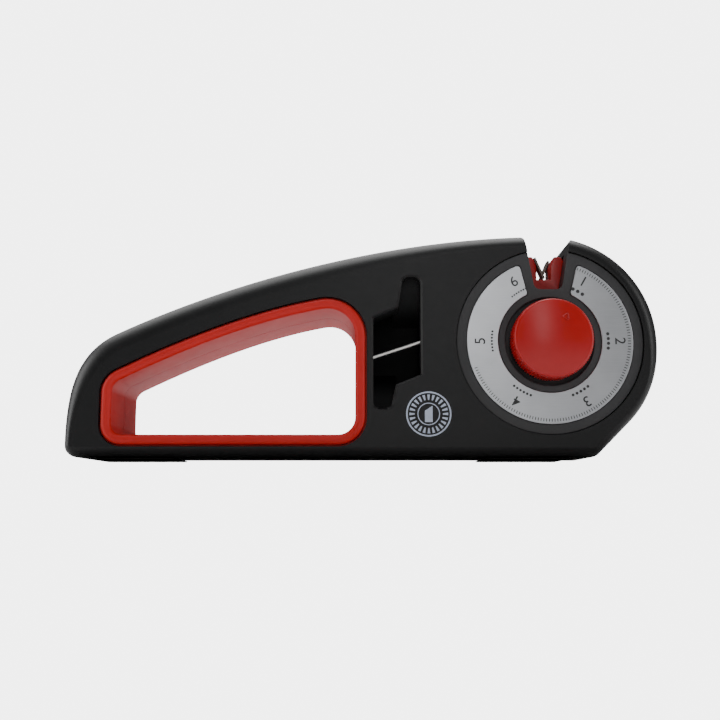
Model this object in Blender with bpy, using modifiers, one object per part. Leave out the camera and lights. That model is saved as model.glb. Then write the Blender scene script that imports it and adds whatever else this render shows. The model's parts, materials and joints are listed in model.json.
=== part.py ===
# Hand-held pull-through sharpener: a two-shell body with a carrying grip, a dial that turns a
# six-station insert turret under a knife notch, and a scissor window with a fixed steel rod.
# Metres, +Z up, X along the body (grip at -X, dial at +X), the front face towards -Y.
# Depths are written as "forward" distances: in front of the joint plane between the shells.

import math

import bmesh
import bpy
from mathutils import Matrix, Vector

MM = 0.001

# Whole body
LENGTH = 216.0 * MM
HEIGHT = 82.7 * MM
DEPTH = 42.0 * MM
WALL = 2.2 * MM
GAP = 0.3 * MM
SEAM_GAP = 0.3 * MM

# Outline of the body
END_RADIUS = 40.3 * MM
SHOULDER_IN = 17.5 * MM
SHOULDER_HEIGHT = 46.2 * MM
SHOULDER_SLOPE = math.radians(25.2)
HEEL_RISE_PULL = 15.9 * MM
HEEL_TOP_PULL = 19.0 * MM
BACK_RISE_PULL = 42.7 * MM
CROWN_PULL = 60.0 * MM
BASE_CORNER = 4.2 * MM
TOE_SWELL = 0.85 * MM  # how far the end circle grows towards the toe
TOE_TURN = math.radians(45.0)

# Rounding between the front face and the outline
EDGE_DEPTH = 8.0 * MM
EDGE_TOP = 8.0 * MM
EDGE_END = 5.8 * MM
EDGE_BASE = 3.5 * MM
REAR_ROUNDING = 0.45  # the rear edges' rounding, as a share of the front's

# Feet
PAD_THICKNESS = 0.4 * MM
PAD_DEPTH = 30.0 * MM
PAD_CORNER = 0.8 * MM
PAD_LENGTH = 31.0 * MM
HEEL_PAD_IN = 8.5 * MM
TOE_PAD_IN = 33.0 * MM

# Grip opening and its soft liner
GRIP_IN = 14.4 * MM
GRIP_TO_DIAL = 67.3 * MM
GRIP_FLOOR = 4.7 * MM
GRIP_BAR_HEEL = 15.0 * MM
GRIP_BAR_MIDDLE = 11.1 * MM
GRIP_BAR_END = 15.05 * MM
GRIP_CORNERS = (7.5 * MM, 9.0 * MM, 14.0 * MM, 10.0 * MM)
LINER_WALL = 3.7 * MM
LINER_PROUD = 0.7 * MM
LINER_GROOVE = 0.6 * MM
GRIP_WALL = 1.2 * MM
GROOVE_DEPTH = 2.2 * MM  # below it the liner fills the opening but for LINER_CLEARANCE
LINER_CLEARANCE = 0.1 * MM

# Dial
DISH_RIM = 6.3 * MM
DISH_DEPTH = 2.4 * MM
COVER_SINK = 0.8 * MM
PLATE_MARGIN = 3.9 * MM
PLATE_INNER = 18.8 * MM
PLATE_THICKNESS = 0.6 * MM
PLATE_SINK = 0.5 * MM
PLATE_CORNER = 1.2 * MM
PLATE_GAP_LOW = 8.25 * MM
PLATE_GAP_SPREAD = 0.244
KNOB_RADIUS = 14.5 * MM
KNOB_FACE_RADIUS = 13.5 * MM
KNOB_HEIGHT = 10.0 * MM
KNOB_DOME = 1.9 * MM
KNOB_EDGE = 1.2 * MM
KNOB_CLEARANCE = 1.6 * MM
KNOB_LIFT = 0.5 * MM
POINTER_RADIUS = 8.4 * MM
POINTER_SIZE = 1.5 * MM
POINTER_PROUD = 0.35 * MM
FIRST_STATION = math.radians(30.0)

# Knife notch
NOTCH_FLOOR_RISE = 19.2 * MM
NOTCH_FLOOR_HALF = 5.0 * MM
NOTCH_TOP_HALF = 8.7 * MM
NOTCH_FLOOR_CORNER = 2.4 * MM
NOTCH_LIP = 2.6 * MM
NOTCH_WALL = 1.8 * MM

# Insert turret
STATIONS = ("coarse", "medium", "fine", "serrated", "ceramic", "single_edge")
HOLDER_TOP_INSIDE = 6.7 * MM
HOLDER_WIDTH = 15.4 * MM
HOLDER_DEPTH = 11.0 * MM
HOLDER_CORNER = 2.3 * MM
HOLDER_TENON = 6.0 * MM
HOLDER_TENON_DEPTH = 3.0 * MM
HUB_FLAT = 14.6 * MM
VEE_MOUTH = 5.5 * MM
VEE_DEPTH = 6.4 * MM
MOUTH_CORNER = 0.4 * MM
SEAT_CORNER = 0.6 * MM
VEE_POCKET = 3.6 * MM
VEE_POCKET_HALF = 2.6 * MM
BLADE_THICKNESS = 0.9 * MM
BLADE_LENGTH = 8.6 * MM
BLADE_OVERRUN = 1.7 * MM
BLADE_INSET = 0.5 * MM
STONE_RADIUS = 0.7 * MM
TURRET_CLEARANCE = 0.8 * MM
DETENT_RADIUS = 14.0 * MM
DETENT_WIDTH = 4.0 * MM
DETENT_NOTCH = 1.3 * MM
SPRING_THICKNESS = 0.5 * MM
SPRING_WIDTH = 2.8 * MM
SPRING_HALF = 14.5 * MM
SPRING_POST = 4.4 * MM
BUMP_FOOT_HALF = 2.6 * MM
BUMP_TOP_HALF = 0.6 * MM
BUMP_HEIGHT = DETENT_NOTCH + 0.6 * MM
SPRING_DROP = 1.0 * MM  # from the detent wheel's clearance to the leaf

# Shaft and its bushes
SHAFT_RADIUS = 3.0 * MM
SHAFT_COLLAR = 5.0 * MM
SHAFT_COLLAR_THICKNESS = 1.4 * MM
SHAFT_IN_KNOB = 6.0 * MM
RUNNING_CLEARANCE = 0.12 * MM
BUSH_WALL = 2.0 * MM
BUSH_BOSS_WALL = 2.8 * MM
FRONT_BUSH_LENGTH = 4.6 * MM
REAR_BUSH_LENGTH = 9.0 * MM
WASHER_RADIUS = 5.6 * MM
WASHER_THICKNESS = 0.6 * MM

# Scissor window, its moulded guide and its rod
WINDOW_TO_DIAL = 46.8 * MM
WINDOW_WIDTH = 17.2 * MM
WINDOW_SLOT = 8.2 * MM
WINDOW_SLOT_TAPER = 1.9 * MM
WINDOW_FLOOR = 18.2 * MM
WINDOW_TOP_BAR = 13.1 * MM
WINDOW_MIDDLE = 40.6 * MM
WINDOW_WELL = 14.0 * MM
WINDOW_STEP_RISE = 3.6 * MM
WINDOW_CHAMFER = 0.5 * MM
GUIDE_WALL = 1.2 * MM
RAMP_FOOT = 9.0 * MM  # how far from the window's middle the ramps start
UPPER_RAMP_FLAT = 4.0 * MM
RAMP_OVERLAP = 1.2 * MM
GUIDE_BACK = 4.0 * MM
GUIDE_RAMP_FRONT = 3.0 * MM
ROD_RADIUS = 0.65 * MM
ROD_BEHIND_FACE = 4.2 * MM
ROD_DROP = 0.9 * MM
ROD_SLOPE = math.radians(18.2)
ROD_SEAT = 1.0 * MM

# Case screws, driven in from the back
SCREW_RADIUS = 1.3 * MM
SCREW_HEAD_RADIUS = 2.6 * MM
SCREW_HEAD_HEIGHT = 1.8 * MM
SCREW_SINK = 3.0 * MM
SCREW_BITE = 9.0 * MM
SCREW_SOCKET = 1.1 * MM
BOSS_WALL = 1.5 * MM
# Where each one sits, as (x, z)
HEEL_SCREW = (0.4 * MM, 13.5 * MM)  # from the middle of the heel bar, and above BASE
BAR_SCREW_DOWN = 6.6 * MM  # below the upper edge, over the middle of the grip
SHOULDER_SCREW = (5.0 * MM, 11.0 * MM)  # beyond the grip, and below the upper edge
WAIST_SCREW = (10.0 * MM, 11.5 * MM)  # beyond the window, and above BASE
CREST_SCREW = (-31.8 * MM, 25.6 * MM)  # from the dial axis
TOE_SCREW = (16.3 * MM, 6.3 * MM)  # from the dial axis, and above BASE

# Fineness of round shapes
CORNER_STEPS = 3
EDGE_STEPS = 3
SHAFT_SEGMENTS = 24
BIG_SEGMENTS = 48
KNOB_SEGMENTS = 40
SCREW_SEGMENTS = 12

# Places that follow from the sizes above
SHELL_FRONT = DEPTH / 2
COVER_FRONT = SHELL_FRONT - COVER_SINK
PLATE_FRONT = COVER_FRONT - PLATE_SINK + GAP + PLATE_THICKNESS
KNOB_FRONT = PLATE_FRONT + KNOB_HEIGHT
DISH_FLOOR = SHELL_FRONT - DISH_DEPTH
DIAL_WALL_BACK = DISH_FLOOR - WALL
JOINT_Y = (KNOB_FRONT - SHELL_FRONT - LINER_PROUD) / 2
BASE = PAD_THICKNESS + GAP
DIAL_X = LENGTH / 2 - END_RADIUS
DIAL_Z = HEIGHT - END_RADIUS
DISH_RADIUS = END_RADIUS - DISH_RIM
HOLDER_TOP = END_RADIUS - HOLDER_TOP_INSIDE
HOLDER_REACH = HOLDER_CORNER + math.hypot(HOLDER_WIDTH / 2 - HOLDER_CORNER, HOLDER_TOP - HOLDER_CORNER)
POCKET_RADIUS = HOLDER_REACH + TURRET_CLEARANCE
WELL_RADIUS = KNOB_RADIUS + KNOB_CLEARANCE
BUSH_RADIUS = SHAFT_RADIUS + BUSH_WALL
SHAFT_HOLE = (SHAFT_RADIUS + RUNNING_CLEARANCE) / math.cos(math.pi / SHAFT_SEGMENTS)
BOSS_RADIUS = SCREW_HEAD_RADIUS + GAP + BOSS_WALL
SPRING_LEVEL = DIAL_Z - DETENT_RADIUS - GAP - SPRING_DROP
HUB_BACK = 0.0
HUB_FRONT = HUB_BACK + HOLDER_DEPTH
DETENT_BACK = HUB_BACK - DETENT_WIDTH - GAP
WASHER_BACK = HUB_FRONT + GAP
FRONT_BUSH_BACK = WASHER_BACK + WASHER_THICKNESS + GAP
COLLAR_FRONT = DETENT_BACK - GAP
REAR_BUSH_FRONT = COLLAR_FRONT - SHAFT_COLLAR_THICKNESS - GAP
WINDOW_RIGHT = DIAL_X - WINDOW_TO_DIAL
WINDOW_LEFT = WINDOW_RIGHT - WINDOW_WIDTH


def clear_scene():
    for obj in list(bpy.data.objects):
        bpy.data.objects.remove(obj)


def new_collection(name):
    collection = bpy.data.collections.new(name)
    bpy.context.scene.collection.children.link(collection)
    return collection


clear_scene()
PARTS = new_collection("pull_through_sharpener")
CUTTERS = new_collection("cutters")


def material(name, colour, roughness, metallic=0.0):
    made = bpy.data.materials.new(name)
    made.use_nodes = True
    shader = made.node_tree.nodes["Principled BSDF"]
    shader.inputs["Base Color"].default_value = (*colour, 1.0)
    shader.inputs["Roughness"].default_value = roughness
    shader.inputs["Metallic"].default_value = metallic
    made.diffuse_color = (*colour, 1.0)
    return made


BLACK_PLASTIC = material("black_plastic", (0.013, 0.013, 0.014), 0.42)
DISH_PLASTIC = material("dish_plastic", (0.06, 0.06, 0.062), 0.55)
RED_GRIP = material("red_grip", (0.55, 0.035, 0.025), 0.5)
RED_GLOSS = material("red_gloss", (0.5, 0.02, 0.02), 0.25)
BRUSHED_PLATE = material("brushed_plate", (0.55, 0.56, 0.57), 0.32, 1.0)
STEEL = material("steel", (0.6, 0.6, 0.58), 0.3, 1.0)
DARK_STEEL = material("dark_steel", (0.22, 0.2, 0.18), 0.35, 1.0)
CERAMIC = material("ceramic_stone", (0.8, 0.79, 0.75), 0.6)
DIAMOND = material("diamond_coat", (0.35, 0.34, 0.33), 0.6, 1.0)
BRONZE = material("bush_bronze", (0.5, 0.33, 0.16), 0.4, 1.0)
RUBBER = material("foot_rubber", (0.01, 0.01, 0.01), 0.85)


# Outlines are lists of (x, z), clockwise as seen from the front.


def arc(centre, radius, start, end, steps):
    turn = (end - start) / steps
    angles = [start + turn * i for i in range(steps + 1)]
    return [(centre[0] + radius * math.cos(a), centre[1] + radius * math.sin(a)) for a in angles]


def bezier(a, b, c, d, steps):
    """Points after a, up to and including d."""
    points = []
    for i in range(1, steps + 1):
        t = i / steps
        weights = ((1 - t) ** 3, 3 * t * (1 - t) ** 2, 3 * t * t * (1 - t), t**3)
        points.append(tuple(sum(w * p[k] for w, p in zip(weights, (a, b, c, d))) for k in (0, 1)))
    return points


def rounded(corners, steps=CORNER_STEPS):
    """An outline through (x, z, radius) corners. A fourth value is the control point that bows the
    edge after that corner."""
    outline = []
    count = len(corners)
    for i, corner in enumerate(corners):
        here = Vector(corner[:2])
        before = corners[i - 1]
        after = corners[(i + 1) % count]
        towards_before = Vector(before[3] if len(before) > 3 else before[:2]) - here
        towards_after = Vector(corner[3] if len(corner) > 3 else after[:2]) - here
        towards_before.normalize()
        towards_after.normalize()
        half = towards_before.angle(towards_after) / 2
        radius = corner[2]
        start = here + towards_before * (radius / math.tan(half))
        end = here + towards_after * (radius / math.tan(half))
        if radius == 0:
            outline.append(tuple(here))
        else:
            middle = here + (towards_before + towards_after).normalized() * (radius / math.sin(half))
            first = start - middle
            turn = first.angle_signed(end - middle)
            for k in range(steps + 1):
                outline.append(tuple(middle + Matrix.Rotation(-turn * k / steps, 2) @ first))
        if len(corner) > 3:
            outline.append((None, corner[3]))
    return bowed(outline, 2 * steps)


def bowed(outline, steps):
    """Replaces each (None, control) marker with the quadratic curve between its neighbours."""
    points = []
    for i, point in enumerate(outline):
        if point[0] is not None:
            points.append(point)
            continue
        start, end = Vector(outline[i - 1]), Vector(outline[(i + 1) % len(outline)])
        control = Vector(point[1])
        for k in range(1, steps):
            t = k / steps
            points.append(tuple(start * (1 - t) ** 2 + control * 2 * t * (1 - t) + end * t * t))
    return points


def inward(points):
    """The unit vector into the outline at each point, scaled so that an offset keeps its width."""
    vectors = []
    for i, point in enumerate(points):
        into = Vector(point) - Vector(points[i - 1])
        out = Vector(points[(i + 1) % len(points)]) - Vector(point)
        into.normalize()
        out.normalize()
        normal = Vector((into.y + out.y, -into.x - out.x)).normalized()
        vectors.append(normal / max(0.5, math.sqrt((1 + into.dot(out)) / 2)))
    return vectors


def offset(points, distance):
    """The outline moved inward, or outward for a negative distance."""
    return [tuple(Vector(p) + v * distance) for p, v in zip(points, inward(points))]


def circle(radius, segments=BIG_SEGMENTS, centre=(DIAL_X, DIAL_Z)):
    return arc(centre, radius, 0.0, -math.tau, segments)[:-1]


def smooth(t):
    t = min(1.0, max(0.0, t))
    return t * t * (3 - 2 * t)


def body_outline():
    """(x, z, edge rounding) all the way round, from the heel's base corner up and over to the toe."""
    heel = (-LENGTH / 2 + BASE_CORNER, BASE + BASE_CORNER)
    shoulder = (-LENGTH / 2 + SHOULDER_IN, SHOULDER_HEIGHT)
    slope = (math.cos(SHOULDER_SLOPE), math.sin(SHOULDER_SLOPE))
    crown = (DIAL_X, HEIGHT)
    rise = (-LENGTH / 2, heel[1])
    points = [(x, z, EDGE_BASE) for x, z in arc(heel, BASE_CORNER, -math.pi / 2, -math.pi, 4)]
    before = (shoulder[0] - slope[0] * HEEL_TOP_PULL, shoulder[1] - slope[1] * HEEL_TOP_PULL)
    side = bezier(rise, (rise[0], rise[1] + HEEL_RISE_PULL), before, shoulder, 10)
    for i, (x, z) in enumerate(side):
        points.append((x, z, EDGE_BASE + (EDGE_TOP - EDGE_BASE) * smooth((i + 1) / 7)))
    after = (shoulder[0] + slope[0] * BACK_RISE_PULL, shoulder[1] + slope[1] * BACK_RISE_PULL)
    back = bezier(shoulder, after, (crown[0] - CROWN_PULL, crown[1]), crown, 13)
    for i, (x, z) in enumerate(back):
        points.append((x, z, EDGE_TOP + (EDGE_END - EDGE_TOP) * smooth((i - 6) / 6)))
    end = arc((DIAL_X, DIAL_Z), END_RADIUS, math.pi / 2, -TOE_TURN, 16)[1:]
    for i, (x, z) in enumerate(end):
        swell = 1 + TOE_SWELL / END_RADIUS * smooth((i - 9) / 6)
        place = (DIAL_X + (x - DIAL_X) * swell, DIAL_Z + (z - DIAL_Z) * swell)
        points.append((*place, EDGE_END + (EDGE_BASE - EDGE_END) * smooth((i - 9) / 5)))
    return points + [(x, z, EDGE_BASE) for x, z in toe_corner()]


def toe_corner():
    """The corner between the straight run off the end circle and the base."""
    radius = END_RADIUS + TOE_SWELL
    leave = (DIAL_X + radius * math.cos(TOE_TURN), DIAL_Z - radius * math.sin(TOE_TURN))
    meet = leave[0] - (leave[1] - BASE) / math.tan(math.pi / 2 - TOE_TURN)
    run = BASE_CORNER * math.tan((math.pi / 2 - TOE_TURN) / 2)
    centre = (meet - run, BASE + BASE_CORNER)
    return arc(centre, BASE_CORNER, -TOE_TURN, -math.pi / 2, 3)


def height_at(x):
    """The height of the body's upper edge above x."""
    points = [p for p in body_outline() if p[1] > BASE + BASE_CORNER and p[0] <= DIAL_X]
    for a, b in zip(points, points[1:]):
        if a[0] <= x <= b[0]:
            return a[1] + (b[1] - a[1]) * (x - a[0]) / (b[0] - a[0])
    return HEIGHT


def grip_outline():
    """The outer edge of the grip's soft liner."""
    left = -LENGTH / 2 + GRIP_IN
    right = DIAL_X - GRIP_TO_DIAL
    middle = (left + right) / 2
    floor = BASE + GRIP_FLOOR
    lower_left, upper_left, upper_right, lower_right = GRIP_CORNERS
    bow = (middle, height_at(middle) - GRIP_BAR_MIDDLE)
    return rounded(
        [
            (left, floor, lower_left),
            (left, height_at(left) - GRIP_BAR_HEEL, upper_left, bow),
            (right, height_at(right) - GRIP_BAR_END, upper_right),
            (right, floor, lower_right),
        ],
        5,
    )


def notch_outline():
    """The knife notch, with lips that round over the body's upper edge and wings above it."""
    floor = DIAL_Z + NOTCH_FLOOR_RISE
    left = DIAL_X - NOTCH_TOP_HALF
    right = DIAL_X + NOTCH_TOP_HALF
    top_left = height_at(left)
    fall = math.asin(NOTCH_TOP_HALF / END_RADIUS)
    top_right = DIAL_Z + END_RADIUS * math.cos(fall)
    wing = 2 * NOTCH_TOP_HALF
    lift = math.radians(3.0)
    above = HEIGHT + wing
    return rounded(
        [
            (left - wing, above, 0),
            (left - wing, top_left + wing * math.tan(lift), 0),
            (left, top_left, NOTCH_LIP),
            (DIAL_X - NOTCH_FLOOR_HALF, floor, NOTCH_FLOOR_CORNER),
            (DIAL_X + NOTCH_FLOOR_HALF, floor, NOTCH_FLOOR_CORNER),
            (right, top_right, NOTCH_LIP),
            (right + wing, top_right - wing * math.tan(fall - lift), 0),
            (right + wing, above, 0),
        ]
    )[::-1]


def window_outline():
    """The Z-shaped scissor window: an upper slot on the right, a lower slot on the left, and a
    well beside each of them, above and below the rod."""
    left = WINDOW_LEFT
    right = WINDOW_RIGHT
    top = height_at(right) - WINDOW_TOP_BAR
    upper_step = WINDOW_MIDDLE + WINDOW_WELL
    lower_step = WINDOW_MIDDLE - WINDOW_WELL
    slope = WINDOW_STEP_RISE
    slot = WINDOW_SLOT
    taper = WINDOW_SLOT_TAPER
    return rounded(
        [
            (left, WINDOW_FLOOR, 2.0 * MM),
            (left, upper_step - slope, 0.6 * MM),
            (right - slot, upper_step, 0.6 * MM),
            (right - slot + taper, top, 2.6 * MM),
            (right, top, 2.6 * MM),
            (right, lower_step + slope, 0.6 * MM),
            (left + slot, lower_step, 0.6 * MM),
            (left + slot - taper, WINDOW_FLOOR, 2.0 * MM),
        ],
        3,
    )


# Solids


def new_object(name, mesh, collection, finish=None):
    obj = bpy.data.objects.new(name, mesh)
    collection.objects.link(obj)
    if finish:
        mesh.materials.clear()
        mesh.materials.append(finish)
    if collection is CUTTERS:
        obj.hide_render = True
        obj.display_type = "WIRE"
    return obj


def flat_piece(name, outlines, back, front, finish=None):
    """A flat outline, with any holes, given a thickness from one forward distance to another."""
    curve = bpy.data.curves.new(name, "CURVE")
    curve.dimensions = "2D"
    curve.fill_mode = "BOTH"
    curve.extrude = (front - back) / 2
    for outline in outlines:
        spline = curve.splines.new("POLY")
        spline.points.add(len(outline) - 1)
        for point, (x, z) in zip(spline.points, outline):
            point.co = (x, z, 0.0, 1.0)
        spline.use_cyclic_u = True
    drawn = new_object(name + "_curve", curve, CUTTERS)
    drawn.rotation_euler = (math.pi / 2, 0.0, 0.0)
    drawn.location = (0.0, JOINT_Y - (front + back) / 2, 0.0)
    return meshed(drawn, name, finish)


def meshed(drawn, name, finish):
    """Turns a curve object into a mesh object with its caps welded on."""
    bpy.context.view_layer.update()
    graph = bpy.context.evaluated_depsgraph_get()
    mesh = bpy.data.meshes.new_from_object(drawn.evaluated_get(graph))
    mesh.name = name
    place = drawn.matrix_world.copy()
    bpy.data.objects.remove(drawn)
    tidy = bmesh.new()
    tidy.from_mesh(mesh)
    bmesh.ops.remove_doubles(tidy, verts=tidy.verts, dist=0.001 * MM)
    tidy.to_mesh(mesh)
    tidy.free()
    obj = new_object(name, mesh, PARTS if finish else CUTTERS, finish)
    obj.matrix_world = place
    return obj


def swept(name, rings, closed, finish=None):
    """A skin through rings of world points, joined end to end or capped at both ends."""
    build = bmesh.new()
    rows = [[build.verts.new(p) for p in ring] for ring in rings]
    pairs = list(zip(rows, rows[1:] + rows[:1] if closed else rows[1:]))
    for low, high in pairs:
        for i in range(len(low)):
            k = (i + 1) % len(low)
            build.faces.new((low[i], low[k], high[k], high[i]))
    bmesh.ops.triangulate(build, faces=build.faces)
    if not closed:
        build.faces.new(rows[0])
        build.faces.new(rows[-1])
    bmesh.ops.recalc_face_normals(build, faces=build.faces)
    mesh = bpy.data.meshes.new(name)
    build.to_mesh(mesh)
    build.free()
    mesh.shade_smooth()
    mesh.set_sharp_from_angle(angle=math.radians(35))
    return new_object(name, mesh, PARTS if finish else CUTTERS, finish)


def body_rings(side, wall, back):
    """Rings of one shell's surface, or of its cavity for a wall above zero. side is 1 at the front
    and -1 at the rear, and back is how far behind the joint plane the rings start."""
    outline = body_outline()
    flat = [(x, z) for x, z, _ in outline]
    normals = inward(flat)
    face = SHELL_FRONT - wall
    rounding = 1.0 if side > 0 else REAR_ROUNDING
    straight = SHELL_FRONT - EDGE_DEPTH * rounding

    def ring(forward, share):
        points = []
        for (x, z, edge), normal in zip(outline, normals):
            inset = wall + share * (edge * rounding - 0.35 * wall)
            if edge <= EDGE_BASE:
                inset = min(inset, BASE_CORNER - SEAM_GAP)
            points.append((x + normal.x * inset, JOINT_Y - side * forward, z + normal.y * inset))
        return points

    rings = [ring(-back, 0.0), ring(straight, 0.0)]
    for i in range(1, EDGE_STEPS + 1):
        angle = math.pi / 2 * i / EDGE_STEPS
        rings.append(ring(straight + (face - straight) * math.sin(angle), 1 - math.cos(angle)))
    return rings


def turned(name, profile, finish=None, segments=BIG_SEGMENTS, centre=(DIAL_X, DIAL_Z)):
    """A (radius, forward) profile, front to back, turned about an axis along Y. A profile that
    keeps clear of the axis is closed on itself."""
    points = [(r, 0.0, f) for r, f in profile]
    edges = [(i, i + 1) for i in range(len(points) - 1)]
    if profile[0][0] > 0:
        edges.append((len(points) - 1, 0))
    mesh = bpy.data.meshes.new(name)
    mesh.from_pydata(points, edges, [])
    obj = new_object(name, mesh, PARTS if finish else CUTTERS, finish)
    obj.rotation_euler = (math.pi / 2, 0.0, 0.0)
    obj.location = (centre[0], JOINT_Y, centre[1])
    screw = obj.modifiers.new("turn", "SCREW")
    screw.steps = segments
    screw.render_steps = segments
    screw.use_merge_vertices = True
    screw.merge_threshold = 0.001 * MM
    screw.use_smooth_shade = True
    return obj


def disc(name, radius, back, front, finish=None, segments=BIG_SEGMENTS, centre=(DIAL_X, DIAL_Z)):
    profile = [(0.0, front), (radius, front), (radius, back), (0.0, back)]
    return turned(name, profile, finish, segments, centre)


def tube(name, outer, inner, back, front, finish, segments=SHAFT_SEGMENTS):
    profile = [(outer, front), (outer, back), (inner, back), (inner, front)]
    return turned(name, profile, finish, segments)


def block(name, low, high, finish=None):
    """A box between two corners given as (x, forward, z)."""
    build = bmesh.new()
    bmesh.ops.create_cube(build, size=1.0)
    size = [h - l for l, h in zip(low, high)]
    middle = [(h + l) / 2 for l, h in zip(low, high)]
    bmesh.ops.scale(build, vec=(size[0], size[1], size[2]), verts=build.verts)
    mesh = bpy.data.meshes.new(name)
    build.to_mesh(mesh)
    build.free()
    obj = new_object(name, mesh, PARTS if finish else CUTTERS, finish)
    obj.location = (middle[0], JOINT_Y - middle[1], middle[2])
    return obj


def cut(target, *cutters, operation="DIFFERENCE"):
    """One Boolean for all the cutters, which are gathered in a collection of their own."""
    group = bpy.data.collections.new(f"{target.name}_{operation.lower()}")
    CUTTERS.children.link(group)
    for cutter in cutters:
        group.objects.link(cutter)
        CUTTERS.objects.unlink(cutter)
    boolean = target.modifiers.new(group.name, "BOOLEAN")
    boolean.operation = operation
    boolean.operand_type = "COLLECTION"
    boolean.collection = group


def join(target, *others):
    cut(target, *others, operation="UNION")


# Cuts and walls that more than one piece shares


def screw_places():
    """(name, x, z) of each case screw."""
    grip_right = DIAL_X - GRIP_TO_DIAL
    bar = (-LENGTH / 2 + GRIP_IN + grip_right) / 2
    shoulder = grip_right + SHOULDER_SCREW[0]
    return [
        ("heel", -LENGTH / 2 + GRIP_IN / 2 + HEEL_SCREW[0], BASE + HEEL_SCREW[1]),
        ("bar", bar, height_at(bar) - BAR_SCREW_DOWN),
        ("shoulder", shoulder, height_at(shoulder) - SHOULDER_SCREW[1]),
        ("waist", WINDOW_RIGHT + WAIST_SCREW[0], BASE + WAIST_SCREW[1]),
        ("crest", DIAL_X + CREST_SCREW[0], DIAL_Z + CREST_SCREW[1]),
        ("toe", DIAL_X + TOE_SCREW[0], BASE + TOE_SCREW[1]),
    ]


def shell_walls(side):
    """What is left standing inside a shell when its cavity is cut: the wall round the grip, the
    notch walls and the screw bosses."""
    label = "front" if side > 0 else "rear"
    reach = SHELL_FRONT + WALL
    back, front = (-WALL, reach) if side > 0 else (-reach, WALL)
    grip = offset(grip_outline(), -(LINER_GROOVE + GRIP_WALL))
    walls = [flat_piece(label + "_grip_wall", [grip], back, front)]
    walls.append(flat_piece(label + "_notch_wall", [offset(notch_outline(), -NOTCH_WALL)], back, front))
    for name, x, z in screw_places():
        centre = (x, z)
        walls.append(disc(f"{label}_{name}_boss", BOSS_RADIUS, back, front, None, SCREW_SEGMENTS, centre))
    return walls


def housing(side):
    label = "front" if side > 0 else "rear"
    seam = SEAM_GAP / 2
    shell = swept(label + "_housing", body_rings(side, 0.0, -seam), False, BLACK_PLASTIC)
    cavity = swept(label + "_cavity", body_rings(side, WALL, WALL), False)
    walls = shell_walls(side)
    grip = offset(grip_outline(), -LINER_GROOVE)
    reach = SHELL_FRONT + EDGE_DEPTH
    grip_cut = flat_piece(label + "_grip_cut", [grip], -reach, reach)
    notch_cut = flat_piece(label + "_notch_cut", [notch_outline()], -reach, reach)
    pocket_back = HUB_BACK - TURRET_CLEARANCE
    pocket_front = HUB_FRONT + TURRET_CLEARANCE
    pocket = disc(label + "_turret_pocket", POCKET_RADIUS, pocket_back, pocket_front)
    return shell, cavity, walls, [grip_cut, notch_cut, pocket]


def front_housing():
    shell, cavity, walls, cuts = housing(1)
    reach = SHELL_FRONT + WALL
    dial_wall = disc("dial_wall", DISH_RADIUS + WALL, DIAL_WALL_BACK, reach)
    boss_radius = BUSH_RADIUS + GAP + BUSH_BOSS_WALL
    bush_boss = disc("front_bush_boss", boss_radius, FRONT_BUSH_BACK, reach, None, SHAFT_SEGMENTS)
    cut(cavity, *walls, dial_wall, bush_boss)
    dish = disc("dish_cut", DISH_RADIUS, DISH_FLOOR, reach)
    bush_seat = FRONT_BUSH_BACK + FRONT_BUSH_LENGTH + GAP
    bush_cut = disc("front_bush_cut", BUSH_RADIUS + GAP, 0.0, bush_seat, None, SHAFT_SEGMENTS)
    shaft_cut = disc("front_shaft_cut", SHAFT_RADIUS + 2 * GAP, 0.0, reach, None, SHAFT_SEGMENTS)
    pilots = []
    for name, x, z in screw_places():
        end = SCREW_BITE + GAP
        pilots.append(disc(name + "_pilot", SCREW_RADIUS + GAP, -WALL, end, None, SCREW_SEGMENTS, (x, z)))
    cut(shell, cavity, *cuts, dish, bush_cut, shaft_cut, window_cut(), *pilots)
    return shell


def rear_housing():
    shell, cavity, walls, cuts = housing(-1)
    reach = SHELL_FRONT + WALL
    boss_radius = BUSH_RADIUS + GAP + BUSH_BOSS_WALL
    boss_front = REAR_BUSH_FRONT
    bush_boss = disc("rear_bush_boss", boss_radius, -reach, boss_front, None, SHAFT_SEGMENTS)
    cut(cavity, *walls, bush_boss, *spring_posts())
    bush_back = REAR_BUSH_FRONT - REAR_BUSH_LENGTH - GAP
    bush_cut = disc("rear_bush_cut", BUSH_RADIUS + GAP, bush_back, WALL, None, SHAFT_SEGMENTS)
    holes = [screw_hole(name, x, z) for name, x, z in screw_places()]
    cut(shell, cavity, *cuts, bush_cut, spring_slot(), *holes)
    return shell


def screw_hole(name, x, z):
    """A stepped hole through the rear shell for a screw and its sunk head."""
    shank = SCREW_RADIUS + GAP
    head = SCREW_HEAD_RADIUS + GAP
    seat = -SHELL_FRONT + SCREW_SINK
    back = -SHELL_FRONT - WALL
    profile = [(0.0, WALL), (shank, WALL), (shank, seat), (head, seat), (head, back), (0.0, back)]
    return turned(name + "_hole", profile, None, SCREW_SEGMENTS, (x, z))


def window_cut():
    """The scissor window through the front wall, chamfered at the face."""
    outline = window_outline()
    face = SHELL_FRONT
    steps = [
        (0.0, face - WALL - WALL),
        (0.0, face - WINDOW_CHAMFER),
        (-WINDOW_CHAMFER, face),
        (-WINDOW_CHAMFER, face + WALL),
    ]
    rings = [[(x, JOINT_Y - f, z) for x, z in offset(outline, d)] for d, f in steps]
    return swept("window_cut", rings, False)


# Grip, feet and dial


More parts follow.
